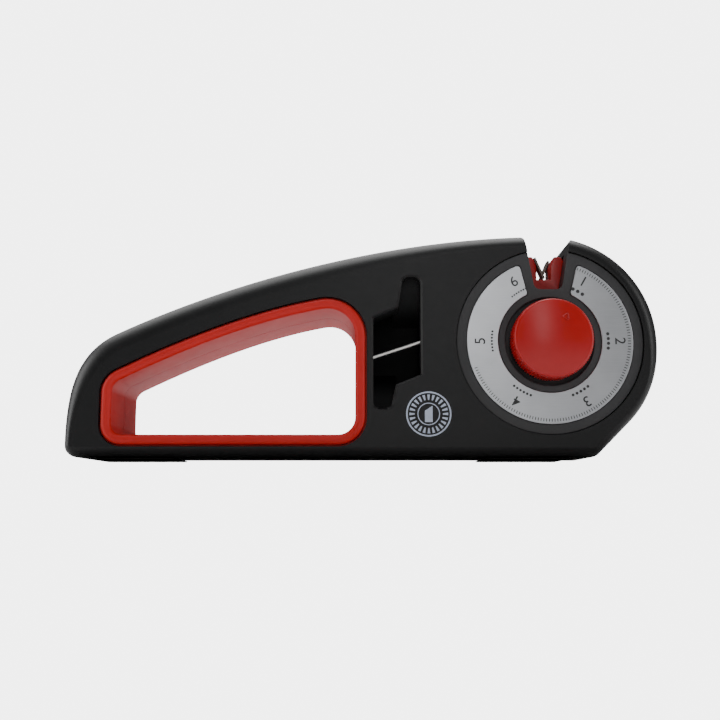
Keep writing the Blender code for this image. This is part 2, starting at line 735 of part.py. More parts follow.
def grip_liner(name, side):
    """One half of the soft liner: a wall through the grip opening with a rolled lip at the face and
    a wider skirt that fits the shell below the groove."""
    outline = grip_outline()
    face = SHELL_FRONT + LINER_PROUD
    roll = LINER_WALL / 2
    skirt = LINER_CLEARANCE - LINER_GROOVE
    ledge = SHELL_FRONT - GROOVE_DEPTH
    section = [(skirt, SEAM_GAP / 2), (skirt, ledge), (0.0, ledge), (0.0, face - roll)]
    for i in range(1, 5):
        angle = math.pi * i / 5
        section.append((roll - roll * math.cos(angle), face - roll + roll * math.sin(angle)))
    section += [(LINER_WALL, face - roll), (LINER_WALL, SEAM_GAP / 2)]
    rings = [[(x, JOINT_Y - side * f, z) for x, z in offset(outline, d)] for d, f in section]
    return swept(name, rings, True, RED_GRIP)


def base_pad(name, left):
    """A flat foot with rounded corners, stuck under both shells."""
    half = PAD_DEPTH / 2
    outline = rounded(
        [
            (left, -half, PAD_CORNER),
            (left, half, PAD_CORNER),
            (left + PAD_LENGTH, half, PAD_CORNER),
            (left + PAD_LENGTH, -half, PAD_CORNER),
        ]
    )
    rings = [[(x, JOINT_Y + y, z) for x, y in outline] for z in (0.0, PAD_THICKNESS)]
    return swept(name, rings, False, RUBBER)


def plate_outline():
    """The C-shaped dial plate, with its gap at the knife notch."""
    outer = DISH_RADIUS - PLATE_MARGIN
    inner = PLATE_INNER

    def end_angle(radius):
        half = PLATE_GAP_LOW
        for _ in range(8):
            rise = math.sqrt(radius**2 - half**2)
            half = PLATE_GAP_LOW + PLATE_GAP_SPREAD * (rise - PLATE_INNER)
        return math.asin(half / radius)

    start_out, start_in = end_angle(outer), end_angle(inner)
    centre = (DIAL_X, DIAL_Z)
    quarter = math.pi / 2
    outside = arc(centre, outer, quarter - start_out, quarter + start_out - math.tau, 44)
    inside = arc(centre, inner, quarter + start_in - math.tau, quarter - start_in, 36)
    points = outside + inside
    sharp = {0, len(outside) - 1, len(outside), len(points) - 1}
    corners = [(x, z, PLATE_CORNER if i in sharp else 0) for i, (x, z) in enumerate(points)]
    return rounded(corners, 3)


def dial_cover():
    back = DISH_FLOOR + GAP
    outer = DISH_RADIUS - GAP
    lip = 0.5 * MM
    profile = [
        (WELL_RADIUS, COVER_FRONT),
        (outer - lip, COVER_FRONT),
        (outer, COVER_FRONT - lip),
        (outer, back),
        (WELL_RADIUS, back),
    ]
    cover = turned("dial_cover", profile, DISH_PLASTIC)
    reach = SHELL_FRONT + WALL
    notch = flat_piece("cover_notch_cut", [notch_outline()], 0.0, reach)
    seat = offset(plate_outline(), -GAP)
    cut(cover, notch, flat_piece("plate_seat_cut", [seat], COVER_FRONT - PLATE_SINK, reach))
    return cover


def dial_plate():
    back = PLATE_FRONT - PLATE_THICKNESS
    return flat_piece("dial_plate", [plate_outline()], back, PLATE_FRONT, BRUSHED_PLATE)


# Turret: everything here turns together about the dial axis


def turret_pivot():
    pivot = bpy.data.objects.new("turret_pivot", None)
    PARTS.objects.link(pivot)
    pivot.location = (DIAL_X, JOINT_Y, DIAL_Z)
    return pivot


def on_turret(obj, pivot, turn=0.0):
    """Parents an object drawn at the top station to the pivot, turned clockwise by turn."""
    bpy.context.view_layer.update()
    centre = Matrix.Translation(pivot.location)
    turned_place = centre @ Matrix.Rotation(turn, 4, "Y") @ centre.inverted() @ obj.matrix_world
    obj.parent = pivot
    obj.matrix_parent_inverse = centre.inverted()
    obj.matrix_world = turned_place
    return obj


def selector_knob():
    back = DISH_FLOOR + KNOB_LIFT
    rim = KNOB_FRONT - KNOB_DOME
    ball = (KNOB_FACE_RADIUS**2 + KNOB_DOME**2) / (2 * KNOB_DOME)
    profile = []
    for i in range(6):
        radius = KNOB_FACE_RADIUS * i / 5
        profile.append((radius, KNOB_FRONT - ball + math.sqrt(ball**2 - radius**2)))
    profile += [
        (KNOB_RADIUS - 0.3 * MM, rim - 0.4 * KNOB_EDGE),
        (KNOB_RADIUS, rim - KNOB_EDGE),
        (KNOB_RADIUS, back),
        (SHAFT_RADIUS + GAP, back),
        (SHAFT_RADIUS + GAP, back + SHAFT_IN_KNOB + GAP),
        (0.0, back + SHAFT_IN_KNOB + GAP),
    ]
    knob = turned("selector_knob", profile, RED_GLOSS, KNOB_SEGMENTS)
    join(knob, pointer())
    return knob


def pointer():
    """A raised triangle on the knob's face that points at the chosen station."""
    side = POINTER_SIZE
    aim = math.pi / 2 - FIRST_STATION
    corners = []
    for k in range(3):
        angle = aim - k * math.tau / 3
        x = DIAL_X + POINTER_RADIUS * math.cos(aim) + side * math.cos(angle)
        z = DIAL_Z + POINTER_RADIUS * math.sin(aim) + side * math.sin(angle)
        corners.append((x, z, 0.25 * side))
    top = KNOB_FRONT - KNOB_DOME * (POINTER_RADIUS / KNOB_FACE_RADIUS) ** 2 + POINTER_PROUD
    return flat_piece("pointer_shape", [rounded(corners, 2)], top - 1.5 * MM, top)


def turret_shaft():
    knob_end = DISH_FLOOR + KNOB_LIFT + SHAFT_IN_KNOB
    tail = REAR_BUSH_FRONT - REAR_BUSH_LENGTH + GAP
    profile = [
        (0.0, knob_end),
        (SHAFT_RADIUS, knob_end),
        (SHAFT_RADIUS, COLLAR_FRONT),
        (SHAFT_COLLAR, COLLAR_FRONT),
        (SHAFT_COLLAR, COLLAR_FRONT - SHAFT_COLLAR_THICKNESS),
        (SHAFT_RADIUS, COLLAR_FRONT - SHAFT_COLLAR_THICKNESS),
        (SHAFT_RADIUS, tail),
        (0.0, tail),
    ]
    return turned("turret_shaft", profile, STEEL, SHAFT_SEGMENTS)


def hub_outline():
    """A hexagon with a groove in the middle of each flat for a holder's tenon."""
    points = []
    half = HOLDER_TENON / 2 + GAP
    floor = HUB_FLAT - HOLDER_TENON_DEPTH - GAP
    edge = HUB_FLAT * math.tan(math.pi / 6)
    face = [(-edge, HUB_FLAT), (-half, HUB_FLAT), (-half, floor), (half, floor), (half, HUB_FLAT)]
    for k in range(len(STATIONS)):
        turn = Matrix.Rotation(-math.tau * k / len(STATIONS), 2)
        for x, z in face:
            p = turn @ Vector((x, z))
            points.append((DIAL_X + p.x, DIAL_Z + p.y))
    return points


def detent_outline():
    """A round wheel with one notch for each station."""
    points = []
    steps = 8
    notch_half = math.asin(1.6 * DETENT_NOTCH / DETENT_RADIUS)
    pitch = math.tau / len(STATIONS)
    for k in range(len(STATIONS)):
        middle = -math.pi / 2 - k * pitch
        inner = DETENT_RADIUS - DETENT_NOTCH
        points.append((DIAL_X + inner * math.cos(middle), DIAL_Z + inner * math.sin(middle)))
        start = middle - notch_half
        end = middle - pitch + notch_half
        points += arc((DIAL_X, DIAL_Z), DETENT_RADIUS, start, end, steps)
    return points


def turret_hub():
    hub = flat_piece("turret_hub", [hub_outline()], HUB_BACK, HUB_FRONT, BLACK_PLASTIC)
    wheel = flat_piece("detent_wheel", [detent_outline()], DETENT_BACK, HUB_BACK - GAP)
    neck = disc("hub_neck", DETENT_RADIUS / 2, DETENT_BACK + GAP, HUB_FRONT - GAP, None, SHAFT_SEGMENTS)
    bore = disc("hub_bore", SHAFT_RADIUS + GAP, DETENT_BACK - WALL, HUB_FRONT + WALL, None, SHAFT_SEGMENTS)
    join(hub, neck, wheel)
    cut(hub, bore)
    return hub


def holder_outline(thick):
    """A holder at the top station: tenon, rounded shoulders, and a vee with a pocket under it, set
    back for blades or stones of this thickness."""
    top = DIAL_Z + HOLDER_TOP
    seat = DIAL_Z + HUB_FLAT + GAP
    foot = seat - HOLDER_TENON_DEPTH
    half = HOLDER_WIDTH / 2
    tenon = HOLDER_TENON / 2
    slope = VEE_MOUTH / 2 / VEE_DEPTH
    back_off = (thick + GAP) * math.sqrt(1 + slope**2)
    mouth = VEE_MOUTH / 2 + back_off
    pocket = VEE_POCKET_HALF + thick - BLADE_THICKNESS
    pocket_top = top - VEE_DEPTH + (pocket - back_off) / slope
    pocket_floor = top - VEE_DEPTH - VEE_POCKET
    shoulder = min(HOLDER_CORNER, half - mouth - 2 * MOUTH_CORNER)
    right = [
        (mouth, top, MOUTH_CORNER),
        (half, top, shoulder),
        (half, seat, SEAT_CORNER),
        (tenon, seat, 0),
        (tenon, foot, 0),
    ]
    left = [(-x, z, r) for x, z, r in reversed(right)]
    vee = [
        (-pocket, pocket_top, 0),
        (-pocket, pocket_floor, 0),
        (pocket, pocket_floor, 0),
        (pocket, pocket_top, 0),
    ]
    corners = [(DIAL_X + x, z, r) for x, z, r in right + left + vee]
    return rounded(corners)


def insert_holder(station, thick):
    return flat_piece("holder_" + station, [holder_outline(thick)], HUB_BACK, HUB_FRONT, RED_GLOSS)


def vee_blade(name, lean, finish, stone):
    """One of a station's two crossing blades or stones. lean is -1 for the one on the left face,
    at the front, and 1 for the one on the right face, at the rear."""
    tilt = lean * math.atan(VEE_MOUTH / 2 / VEE_DEPTH)
    apex = DIAL_Z + HOLDER_TOP - VEE_DEPTH
    middle = (HUB_FRONT + HUB_BACK) / 2
    near, far = HUB_BACK + BLADE_INSET, middle - GAP
    if lean < 0:
        near, far = middle + GAP, HUB_FRONT - BLADE_INSET
    if stone:
        thick = 2 * STONE_RADIUS
        build = bmesh.new()
        bmesh.ops.create_cone(
            build, cap_ends=True, segments=14, radius1=thick / 2, radius2=thick / 2, depth=BLADE_LENGTH
        )
    else:
        thick = BLADE_THICKNESS
        build = bmesh.new()
        bmesh.ops.create_cube(build, size=1.0)
        bmesh.ops.scale(build, vec=(thick, far - near, BLADE_LENGTH), verts=build.verts)
    mesh = bpy.data.meshes.new(name)
    build.to_mesh(mesh)
    build.free()
    obj = new_object(name, mesh, PARTS, finish)
    along = BLADE_LENGTH / 2 - BLADE_OVERRUN
    # The blade's working face lies on the vee, so its middle is half a thickness outside it.
    out = lean * thick / 2
    x = DIAL_X + along * math.sin(tilt) + out * math.cos(tilt)
    z = apex + along * math.cos(tilt) - out * math.sin(tilt)
    obj.rotation_euler = (0.0, tilt, 0.0)
    obj.location = (x, JOINT_Y - (near + far) / 2, z)
    return obj


def detent_spring():
    """A leaf under the detent wheel, with a bump that sits in the wheel's lowest notch."""
    bump = [
        (-BUMP_FOOT_HALF, 0.0),
        (-BUMP_TOP_HALF, BUMP_HEIGHT),
        (BUMP_TOP_HALF, BUMP_HEIGHT),
        (BUMP_FOOT_HALF, 0.0),
    ]
    upper = [(-SPRING_HALF, 0.0), *bump, (SPRING_HALF, 0.0)]
    lower = [(x, z - SPRING_THICKNESS) for x, z in reversed(upper)]
    outline = [(DIAL_X + x, SPRING_LEVEL + z) for x, z in upper + lower]
    middle = (DETENT_BACK + HUB_BACK - GAP) / 2
    back, front = middle - SPRING_WIDTH / 2, middle + SPRING_WIDTH / 2
    return flat_piece("detent_spring", [outline], back, front, STEEL)


def spring_post_box(side):
    """(low, high) corners of the post that holds one end of the detent spring."""
    x = DIAL_X + side * SPRING_HALF
    half = SPRING_POST / 2
    low = (x - half, -SHELL_FRONT - WALL, SPRING_LEVEL - half)
    high = (x + half, HUB_BACK - TURRET_CLEARANCE, SPRING_LEVEL + half)
    return low, high


def spring_posts():
    sides = (("left", -1), ("right", 1))
    return [block("spring_post_" + label, *spring_post_box(side)) for label, side in sides]


def spring_slot():
    """The slot in both posts that the spring's ends lie in, open towards the front."""
    half = SPRING_HALF + GAP
    middle = (DETENT_BACK + HUB_BACK - GAP) / 2
    back = middle - SPRING_WIDTH / 2 - GAP
    corner = (DIAL_X - half, back, SPRING_LEVEL - SPRING_THICKNESS - GAP)
    return block("spring_slot", corner, (DIAL_X + half, WALL, SPRING_LEVEL + GAP))


# Scissor guide and rod


def rod_line():
    """The rod's middle point and its half length, wall to wall."""
    centre = ((WINDOW_LEFT + WINDOW_RIGHT) / 2, WINDOW_MIDDLE - ROD_DROP)
    half = WINDOW_WIDTH / 2 / math.cos(ROD_SLOPE) + ROD_SEAT
    return centre, half


def scissor_rod(name, radius, grow, finish=None):
    (x, z), half = rod_line()
    build = bmesh.new()
    bmesh.ops.create_cone(
        build, cap_ends=True, segments=16, radius1=radius, radius2=radius, depth=2 * (half + grow)
    )
    mesh = bpy.data.meshes.new(name)
    build.to_mesh(mesh)
    build.free()
    mesh.shade_smooth()
    mesh.set_sharp_from_angle(angle=math.radians(40))
    rod = new_object(name, mesh, PARTS if finish else CUTTERS, finish)
    rod.rotation_euler = (0.0, math.pi / 2 - ROD_SLOPE, 0.0)
    rod.location = (x, JOINT_Y - (SHELL_FRONT - ROD_BEHIND_FACE), z)
    return rod


def scissor_guide():
    """A moulded cup behind the window that holds the rod and guides the blade with two ramps."""
    outline = window_outline()
    front = SHELL_FRONT - WALL - GAP
    guide = flat_piece("scissor_guide", [offset(outline, -GUIDE_WALL)], GUIDE_BACK, front, BLACK_PLASTIC)
    pocket_back = GUIDE_BACK + GUIDE_WALL
    pocket = flat_piece("guide_pocket", [outline], pocket_back, front + WALL)
    cut(pocket, *guide_ramps(pocket_back, front))
    cut(guide, pocket, scissor_rod("rod_hole", ROD_RADIUS + GAP, GAP))
    return guide


def guide_ramps(floor, front):
    """Sloping floors at the far ends of the two slots."""
    lower_end = WINDOW_FLOOR - GUIDE_WALL
    upper_end = height_at(WINDOW_RIGHT) - WINDOW_TOP_BAR + GUIDE_WALL
    high = front - GUIDE_RAMP_FRONT
    deep = floor - GUIDE_WALL
    middle = (WINDOW_LEFT + WINDOW_RIGHT) / 2
    # Each side view is a list of (forward, z).
    lower_foot = WINDOW_MIDDLE - RAMP_FOOT
    upper_foot = WINDOW_MIDDLE + RAMP_FOOT
    lower = [(deep, lower_end), (high, lower_end), (high, WINDOW_FLOOR)]
    lower += [(floor, lower_foot), (deep, lower_foot)]
    upper = [(deep, upper_end), (high, upper_end), (high, upper_end - UPPER_RAMP_FLAT)]
    upper += [(floor, upper_foot), (deep, upper_foot)]
    ramps = []
    left_span = (WINDOW_LEFT - GUIDE_WALL, middle)
    right_span = (middle - RAMP_OVERLAP, WINDOW_RIGHT + GUIDE_WALL)
    for name, side, (left, right) in zip(
        ("lower_ramp", "upper_ramp"), (lower, upper), (left_span, right_span)
    ):
        rings = [[(x, JOINT_Y - f, z) for f, z in side] for x in (left, right)]
        ramps.append(swept(name, rings, False))
    return ramps


def case_screw(name, x, z):
    """A screw from the back: a countersunk pan head with a hexagon socket."""
    head_back = -SHELL_FRONT + SCREW_SINK - GAP - SCREW_HEAD_HEIGHT
    head_front = head_back + SCREW_HEAD_HEIGHT
    profile = [
        (0.0, SCREW_BITE),
        (SCREW_RADIUS * 0.6, SCREW_BITE),
        (SCREW_RADIUS, SCREW_BITE - SCREW_RADIUS),
        (SCREW_RADIUS, head_front),
        (SCREW_HEAD_RADIUS, head_front),
        (SCREW_HEAD_RADIUS, head_back + 0.4 * MM),
        (SCREW_HEAD_RADIUS - 0.4 * MM, head_back),
        (0.0, head_back),
    ]
    screw = turned("case_screw_" + name, profile, STEEL, SCREW_SEGMENTS, (x, z))
    socket = disc(name + "_socket", SCREW_SOCKET, head_back - WALL, head_back + SCREW_SOCKET, None, 6, (x, z))
    cut(screw, socket)
    return screw


def shaft_bushes():
    back = FRONT_BUSH_BACK
    tube("front_bush", BUSH_RADIUS, SHAFT_HOLE, back, back + FRONT_BUSH_LENGTH, BRONZE)
    front = REAR_BUSH_FRONT
    tube("rear_bush", BUSH_RADIUS, SHAFT_HOLE, front - REAR_BUSH_LENGTH, front, BRONZE)


def turret():
    pivot = turret_pivot()
    on_turret(selector_knob(), pivot)
    on_turret(turret_shaft(), pivot)
    on_turret(turret_hub(), pivot)
    washer_front = WASHER_BACK + WASHER_THICKNESS
    washer = tube("turret_washer", WASHER_RADIUS, SHAFT_HOLE + GAP, WASHER_BACK, washer_front, STEEL)
    on_turret(washer, pivot)
    finishes = (DARK_STEEL, DIAMOND, DIAMOND, CERAMIC, CERAMIC, DARK_STEEL)
    for k, (station, finish) in enumerate(zip(STATIONS, finishes)):
        turn = math.tau * k / len(STATIONS)
        stone = finish is CERAMIC
        thick = 2 * STONE_RADIUS if stone else BLADE_THICKNESS
        on_turret(insert_holder(station, thick), pivot, turn)
        on_turret(vee_blade(f"blade_{station}_left", -1, finish, stone), pivot, turn)
        on_turret(vee_blade(f"blade_{station}_right", 1, finish, stone), pivot, turn)


def main():
    front_housing()
    rear_housing()
    grip_liner("grip_liner_front", 1)
    grip_liner("grip_liner_rear", -1)
    base_pad("heel_pad", -LENGTH / 2 + HEEL_PAD_IN)
    base_pad("toe_pad", LENGTH / 2 - TOE_PAD_IN - PAD_LENGTH)
    dial_cover()
    dial_plate()
    scissor_guide()
    scissor_rod("scissor_rod", ROD_RADIUS, 0.0, STEEL)
    shaft_bushes()
    detent_spring()
    turret()
    for name, x, z in screw_places():
        case_screw(name, x, z)


main()
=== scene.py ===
import json
import math
import bmesh
import bpy
from mathutils import Matrix, Vector


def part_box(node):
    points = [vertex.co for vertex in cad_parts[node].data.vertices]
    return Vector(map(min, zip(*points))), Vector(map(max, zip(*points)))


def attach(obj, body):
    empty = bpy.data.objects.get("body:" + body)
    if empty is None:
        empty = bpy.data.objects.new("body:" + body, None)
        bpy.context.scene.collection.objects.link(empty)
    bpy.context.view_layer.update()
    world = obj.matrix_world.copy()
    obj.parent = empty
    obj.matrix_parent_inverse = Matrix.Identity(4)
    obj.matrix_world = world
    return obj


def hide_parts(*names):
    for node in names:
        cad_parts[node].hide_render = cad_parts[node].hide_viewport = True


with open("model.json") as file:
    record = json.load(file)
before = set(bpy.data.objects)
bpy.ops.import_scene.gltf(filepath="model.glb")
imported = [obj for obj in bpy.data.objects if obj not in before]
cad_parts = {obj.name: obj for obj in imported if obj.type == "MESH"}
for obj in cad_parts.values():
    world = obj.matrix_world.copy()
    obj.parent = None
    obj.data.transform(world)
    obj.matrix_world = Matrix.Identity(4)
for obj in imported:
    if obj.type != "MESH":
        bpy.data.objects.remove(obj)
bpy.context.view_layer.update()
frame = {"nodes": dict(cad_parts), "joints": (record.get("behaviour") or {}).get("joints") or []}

mm = 0.001
nodes = frame["nodes"]
dialX, _, dialZ = frame["joints"][0]["pos_m"]
dialCentre = (dialX, dialZ)
leftX, faceY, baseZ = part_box("front_housing")[0]  # faceY is the flat front face
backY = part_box("rear_housing")[1].y
seamY = (faceY + backY) / 2
print("frame read")

# outlines are lists of (x, z), clockwise as seen from the front


def arc(centre, radius, start, end, steps):
    angles = [start + (end - start) * i / steps for i in range(steps + 1)]
    return [(centre[0] + radius * math.cos(a), centre[1] + radius * math.sin(a)) for a in angles]


def bezier(a, b, c, d, steps):
    points = []
    for i in range(1, steps + 1):
        t = i / steps
        weights = ((1 - t) ** 3, 3 * t * (1 - t) ** 2, 3 * t * t * (1 - t), t**3)
        points.append(tuple(sum(w * p[k] for w, p in zip(weights, (a, b, c, d))) for k in (0, 1)))
    return points


def rounded(corners, steps=10):
    # corners are (x, z, radius), with an optional control point that bows the edge after the corner
    outline = []
    for i, corner in enumerate(corners):
        here = Vector(corner[:2])
        before = corners[i - 1]
        after = corners[(i + 1) % len(corners)]
        back = (Vector(before[3] if len(before) > 3 else before[:2]) - here).normalized()
        ahead = (Vector(corner[3] if len(corner) > 3 else after[:2]) - here).normalized()
        half = back.angle(ahead) / 2
        radius = corner[2]
        if radius:
            start = here + back * (radius / math.tan(half))
            end = here + ahead * (radius / math.tan(half))
            middle = here + (back + ahead).normalized() * (radius / math.sin(half))
            turn = (start - middle).angle_signed(end - middle)
            for k in range(steps + 1):
                outline.append(tuple(middle + Matrix.Rotation(-turn * k / steps, 2) @ (start - middle)))
        else:
            outline.append(tuple(here))
        if len(corner) > 3:
            outline.append((None, corner[3]))
    points = []
    for i, point in enumerate(outline):
        if point[0] is not None:
            points.append(point)
            continue
        start, end, control = Vector(outline[i - 1]), Vector(outline[(i + 1) % len(outline)]), Vector(
            point[1]
        )
        for k in range(1, 4 * steps):
            t = k / (4 * steps)
            points.append(tuple(start * (1 - t) ** 2 + control * 2 * t * (1 - t) + end * t * t))
    return points


def inward(points):
    vectors = []
    for i, point in enumerate(points):
        into = (Vector(point) - Vector(points[i - 1])).normalized()
        out = (Vector(points[(i + 1) % len(points)]) - Vector(point)).normalized()
        normal = Vector((into.y + out.y, -into.x - out.x)).normalized()
        vectors.append(normal / max(0.5, math.sqrt((1 + into.dot(out)) / 2)))
    return vectors


def offset(points, distance):
    return [tuple(Vector(p) + v * distance) for p, v in zip(points, inward(points))]


def smooth(t):
    t = min(1.0, max(0.0, t))
    return t * t * (3 - 2 * t)


def newPiece(name, mesh):
    piece = bpy.data.objects.new(name, mesh)
    bpy.context.scene.collection.objects.link(piece)
    return piece


def finishMesh(build, name, angle=35.0):
    mesh = bpy.data.meshes.new(name)
    build.to_mesh(mesh)
    build.free()
    mesh.shade_smooth()
    mesh.set_sharp_from_angle(angle=math.radians(angle))
    return newPiece(name, mesh)


def swept(name, rings, closed, angle=35.0):
    # a skin through rings of world points, joined end to end or capped
    build = bmesh.new()
    rows = [[build.verts.new(p) for p in ring] for ring in rings]
    for low, high in zip(rows, rows[1:] + rows[:1] if closed else rows[1:]):
        for i in range(len(low)):
            k = (i + 1) % len(low)
            build.faces.new((low[i], low[k], high[k], high[i]))
    if not closed:
        build.faces.new(rows[0])
        build.faces.new(rows[-1])
    bmesh.ops.recalc_face_normals(build, faces=build.faces)
    return finishMesh(build, name, angle)


def slab(name, outline, back, front):
    # a flat outline between two forward distances from the joint plane
    return swept(name, [[(x, seamY - f, z) for x, z in outline] for f in (back, front)], False)


def turned(name, profile, segments=96, centre=None, angle=35.0):
    # a (radius, forward) profile turned about an axis along Y
    cx, cz = centre or dialCentre
    build = bmesh.new()
    rings = []
    for radius, forward in profile:
        count = segments if radius > 1e-7 else 1
        turns = [math.tau * i / count for i in range(count)]
        ring = [(cx + radius * math.cos(a), seamY - forward, cz + radius * math.sin(a)) for a in turns]
        rings.append([build.verts.new(point) for point in ring])
    pairs = list(zip(rings, rings[1:]))
    if profile[0][0] > 1e-7:
        pairs.append((rings[-1], rings[0]))
    for low, high in pairs:
        for i in range(segments):
            k = (i + 1) % segments
            corners = [low[i % len(low)], low[k % len(low)], high[k % len(high)], high[i % len(high)]]
            unique = list(dict.fromkeys(corners))
            if len(unique) > 2:
                build.faces.new(unique)
    bmesh.ops.recalc_face_normals(build, faces=build.faces)
    return finishMesh(build, name, angle)


def disc(name, radius, back, front, segments=96, centre=None):
    return turned(name, [(0, front), (radius, front), (radius, back), (0, back)], segments, centre)


def applied(piece):
    # the evaluated mesh as a plain one, with no modifiers left
    bpy.context.view_layer.update()
    mesh = bpy.data.meshes.new_from_object(piece.evaluated_get(bpy.context.evaluated_depsgraph_get()))
    piece.modifiers.clear()
    piece.data = mesh
    return piece


def painted(piece, *finishes):
    piece.data.materials.clear()
    for finish in finishes:
        piece.data.materials.append(finish)
    return piece


def carve(piece, *cutters):
    group = bpy.data.collections.new(piece.name + "Tools")
    for cutter in cutters:
        group.objects.link(cutter)
    boolean = piece.modifiers.new("carve", "BOOLEAN")
    boolean.operation = "DIFFERENCE"
    boolean.operand_type = "COLLECTION"
    boolean.collection = group
    applied(piece)
    for cutter in cutters:
        bpy.data.objects.remove(cutter)
    bpy.data.collections.remove(group)
    return piece


def softEdges(piece, width, segments=2, angle=32.0):
    bevel = piece.modifiers.new("edges", "BEVEL")
    bevel.width = width
    bevel.segments = segments
    bevel.limit_method = "ANGLE"
    bevel.angle_limit = math.radians(angle)
    bevel.use_clamp_overlap = True
    applied(piece)
    piece.data.shade_smooth()
    piece.data.set_sharp_from_angle(angle=math.radians(50))
    # flat faces stay flat and the edges carry the turn
    weighted = piece.modifiers.new("flatFaces", "WEIGHTED_NORMAL")
    weighted.mode = "FACE_AREA"
    weighted.weight = 50
    weighted.keep_sharp = True
    return applied(piece)


def joined(name, meshes):
    build = bmesh.new()
    for mesh in meshes:
        build.from_mesh(mesh)
    bmesh.ops.recalc_face_normals(build, faces=build.faces)
    return finishMesh(build, name)


def aboutDial(turn):
    # a clockwise turn about the dial's axis, as seen from the front
    centre = Matrix.Translation((dialX, 0, dialZ))
    return centre @ Matrix.Rotation(turn, 4, "Y") @ centre.inverted()


class Wire:
    # one output socket, so that shader maths reads as Python

    def __init__(self, paint, socket):
        self.paint = paint
        self.socket = socket

    def maths(self, operation, other, swapped=False):
        pair = (other, self) if swapped else (self, other)
        return self.paint.node("ShaderNodeMath", {"operation": operation}, dict(enumerate(pair)))

    def __add__(self, other):
        return self.maths("ADD", other)

    def __radd__(self, other):
        return self.maths("ADD", other, True)

    def __mul__(self, other):
        return self.maths("MULTIPLY", other)

    def __rmul__(self, other):
        return self.maths("MULTIPLY", other, True)


class Paint:
    def __init__(self, name, colour, roughness, metallic=0.0, constants=None):
        self.material = bpy.data.materials.new(name)
        self.material.use_nodes = True
        self.tree = self.material.node_tree
        self.shader = self.tree.nodes["Principled BSDF"]
        self.material.diffuse_color = (*colour, 1)
        self.shader.inputs["Base Color"].default_value = (*colour, 1)
        self.shader.inputs["Roughness"].default_value = roughness
        self.shader.inputs["Metallic"].default_value = metallic
        for socket, value in (constants or {}).items():
            self.shader.inputs[socket].default_value = value
        self.place = self.node("ShaderNodeTexCoord", output="Object")

    def node(self, kind, settings=None, sockets=None, output=0):
        made = self.tree.nodes.new(kind)
        for key, value in (settings or {}).items():
            setattr(made, key, value)
        for key, value in (sockets or {}).items():
            if isinstance(value, Wire):
                self.tree.links.new(value.socket, made.inputs[key])
            else:
                made.inputs[key].default_value = value
        return Wire(self, made.outputs[output])

    def stretched(self, scale):
        return self.node("ShaderNodeMapping", {}, {"Vector": self.place, "Scale": scale})

    def noise(self, size, detail=2.0, where=None, rough=0.5):
        sockets = {"Vector": where or self.place, "Scale": 1 / size, "Detail": detail, "Roughness": rough}
        return self.node("ShaderNodeTexNoise", {}, sockets)

    def mix(self, amount, low, high):
        # a colour Mix node keeps its factor at socket 0, its colours at 6 and 7, and its result at 2
        return self.node("ShaderNodeMix", {"data_type": "RGBA"}, {0: amount, 6: (*low, 1), 7: (*high, 1)}, 2)

    def feed(self, socket, wire):
        self.tree.links.new(wire.socket, self.shader.inputs[socket])

    def bump(self, height, depth):
        raised = self.node("ShaderNodeBump", {}, {"Height": height, "Distance": depth, "Strength": 1.0})
        self.feed("Normal", raised)


def plastic(name, dark, light, roughness, grainSize, grainDepth, constants=None):
    # moulded plastic: spark-eroded grain, slow tone changes and faint handling marks
    paint = Paint(name, dark, roughness, 0.0, constants)
    tone = paint.noise(14 * mm, 4.0)
    grain = paint.noise(grainSize, 3.0, None, 0.6)
    paint.feed("Base Color", paint.mix(tone * 0.7 + grain * 0.3, dark, light))
    marks = paint.noise(5 * mm, 6.0, paint.stretched((1.0, 0.6, 2.2)))
    paint.feed("Roughness", roughness - 0.07 + marks * 0.1 + grain * 0.05)
    paint.bump(grain, grainDepth)
    return paint.material


def paintedShadePlastic():
    # the scissor guide, with painted shade: its colour goes darker the deeper it lies
    paint = Paint("wellPlastic", (0.002, 0.002, 0.002), 0.5, 0.0, {"Specular IOR Level": 0.05})
    forward = paint.node("ShaderNodeSeparateXYZ", {}, {"Vector": paint.place}, 1)
    span = {"From Min": seamY - 6.5 * mm, "From Max": seamY - 13 * mm}
    outOfPaintedShade = paint.node(
        "ShaderNodeMapRange", {"interpolation_type": "SMOOTHSTEP"}, {"Value": forward, **span}
    )
    grain = paint.noise(0.3 * mm, 3.0)
    # painted shade: the colour runs from near black deep in the guide to dark grey towards the front
    paint.feed(
        "Base Color",
        paint.mix(outOfPaintedShade * 0.85 + grain * 0.15, (0.0003, 0.0003, 0.0003), (0.022, 0.022, 0.0225)),
    )
    paint.feed("Roughness", 0.45 + grain * 0.1)
    paint.bump(grain, 0.005 * mm)
    return paint.material


def groundMetal(name, dark, light, roughness, streak, depth):
    # metal with fine parallel marks along X
    paint = Paint(name, light, roughness, 1.0)
    lines = paint.noise(streak, 3.0, paint.stretched((0.015, 1.0, 1.0)), 0.7)
    tone = paint.noise(9 * mm, 2.0)
    paint.feed("Base Color", paint.mix(lines * 0.6 + tone * 0.4, dark, light))
    paint.feed("Roughness", roughness - 0.08 + lines * 0.16)
    paint.bump(lines, depth)
    return paint.material


def abrasive(name, dark, light, grit, roughness, metallic):
    # bonded grit: small cells of differing tone that stand a little proud
    paint = Paint(name, dark, roughness, metallic)
    cells = paint.node("ShaderNodeTexVoronoi", {"feature": "F1"}, {"Vector": paint.place, "Scale": 1 / grit})
    tone = paint.noise(2 * mm, 3.0)
    paint.feed("Base Color", paint.mix(cells * 0.7 + tone * 0.3, dark, light))
    paint.feed("Roughness", roughness + tone * 0.12)
    paint.bump(cells, grit * 0.12)
    return paint.material


def printInk(name, colour, other, roughness):
    paint = Paint(name, colour, roughness)
    speck = paint.noise(0.25 * mm, 2.0)
    paint.feed("Base Color", paint.mix(speck, colour, other))
    paint.feed("Roughness", roughness + speck * 0.1)
    paint.bump(speck, 0.004 * mm)
    return paint.material


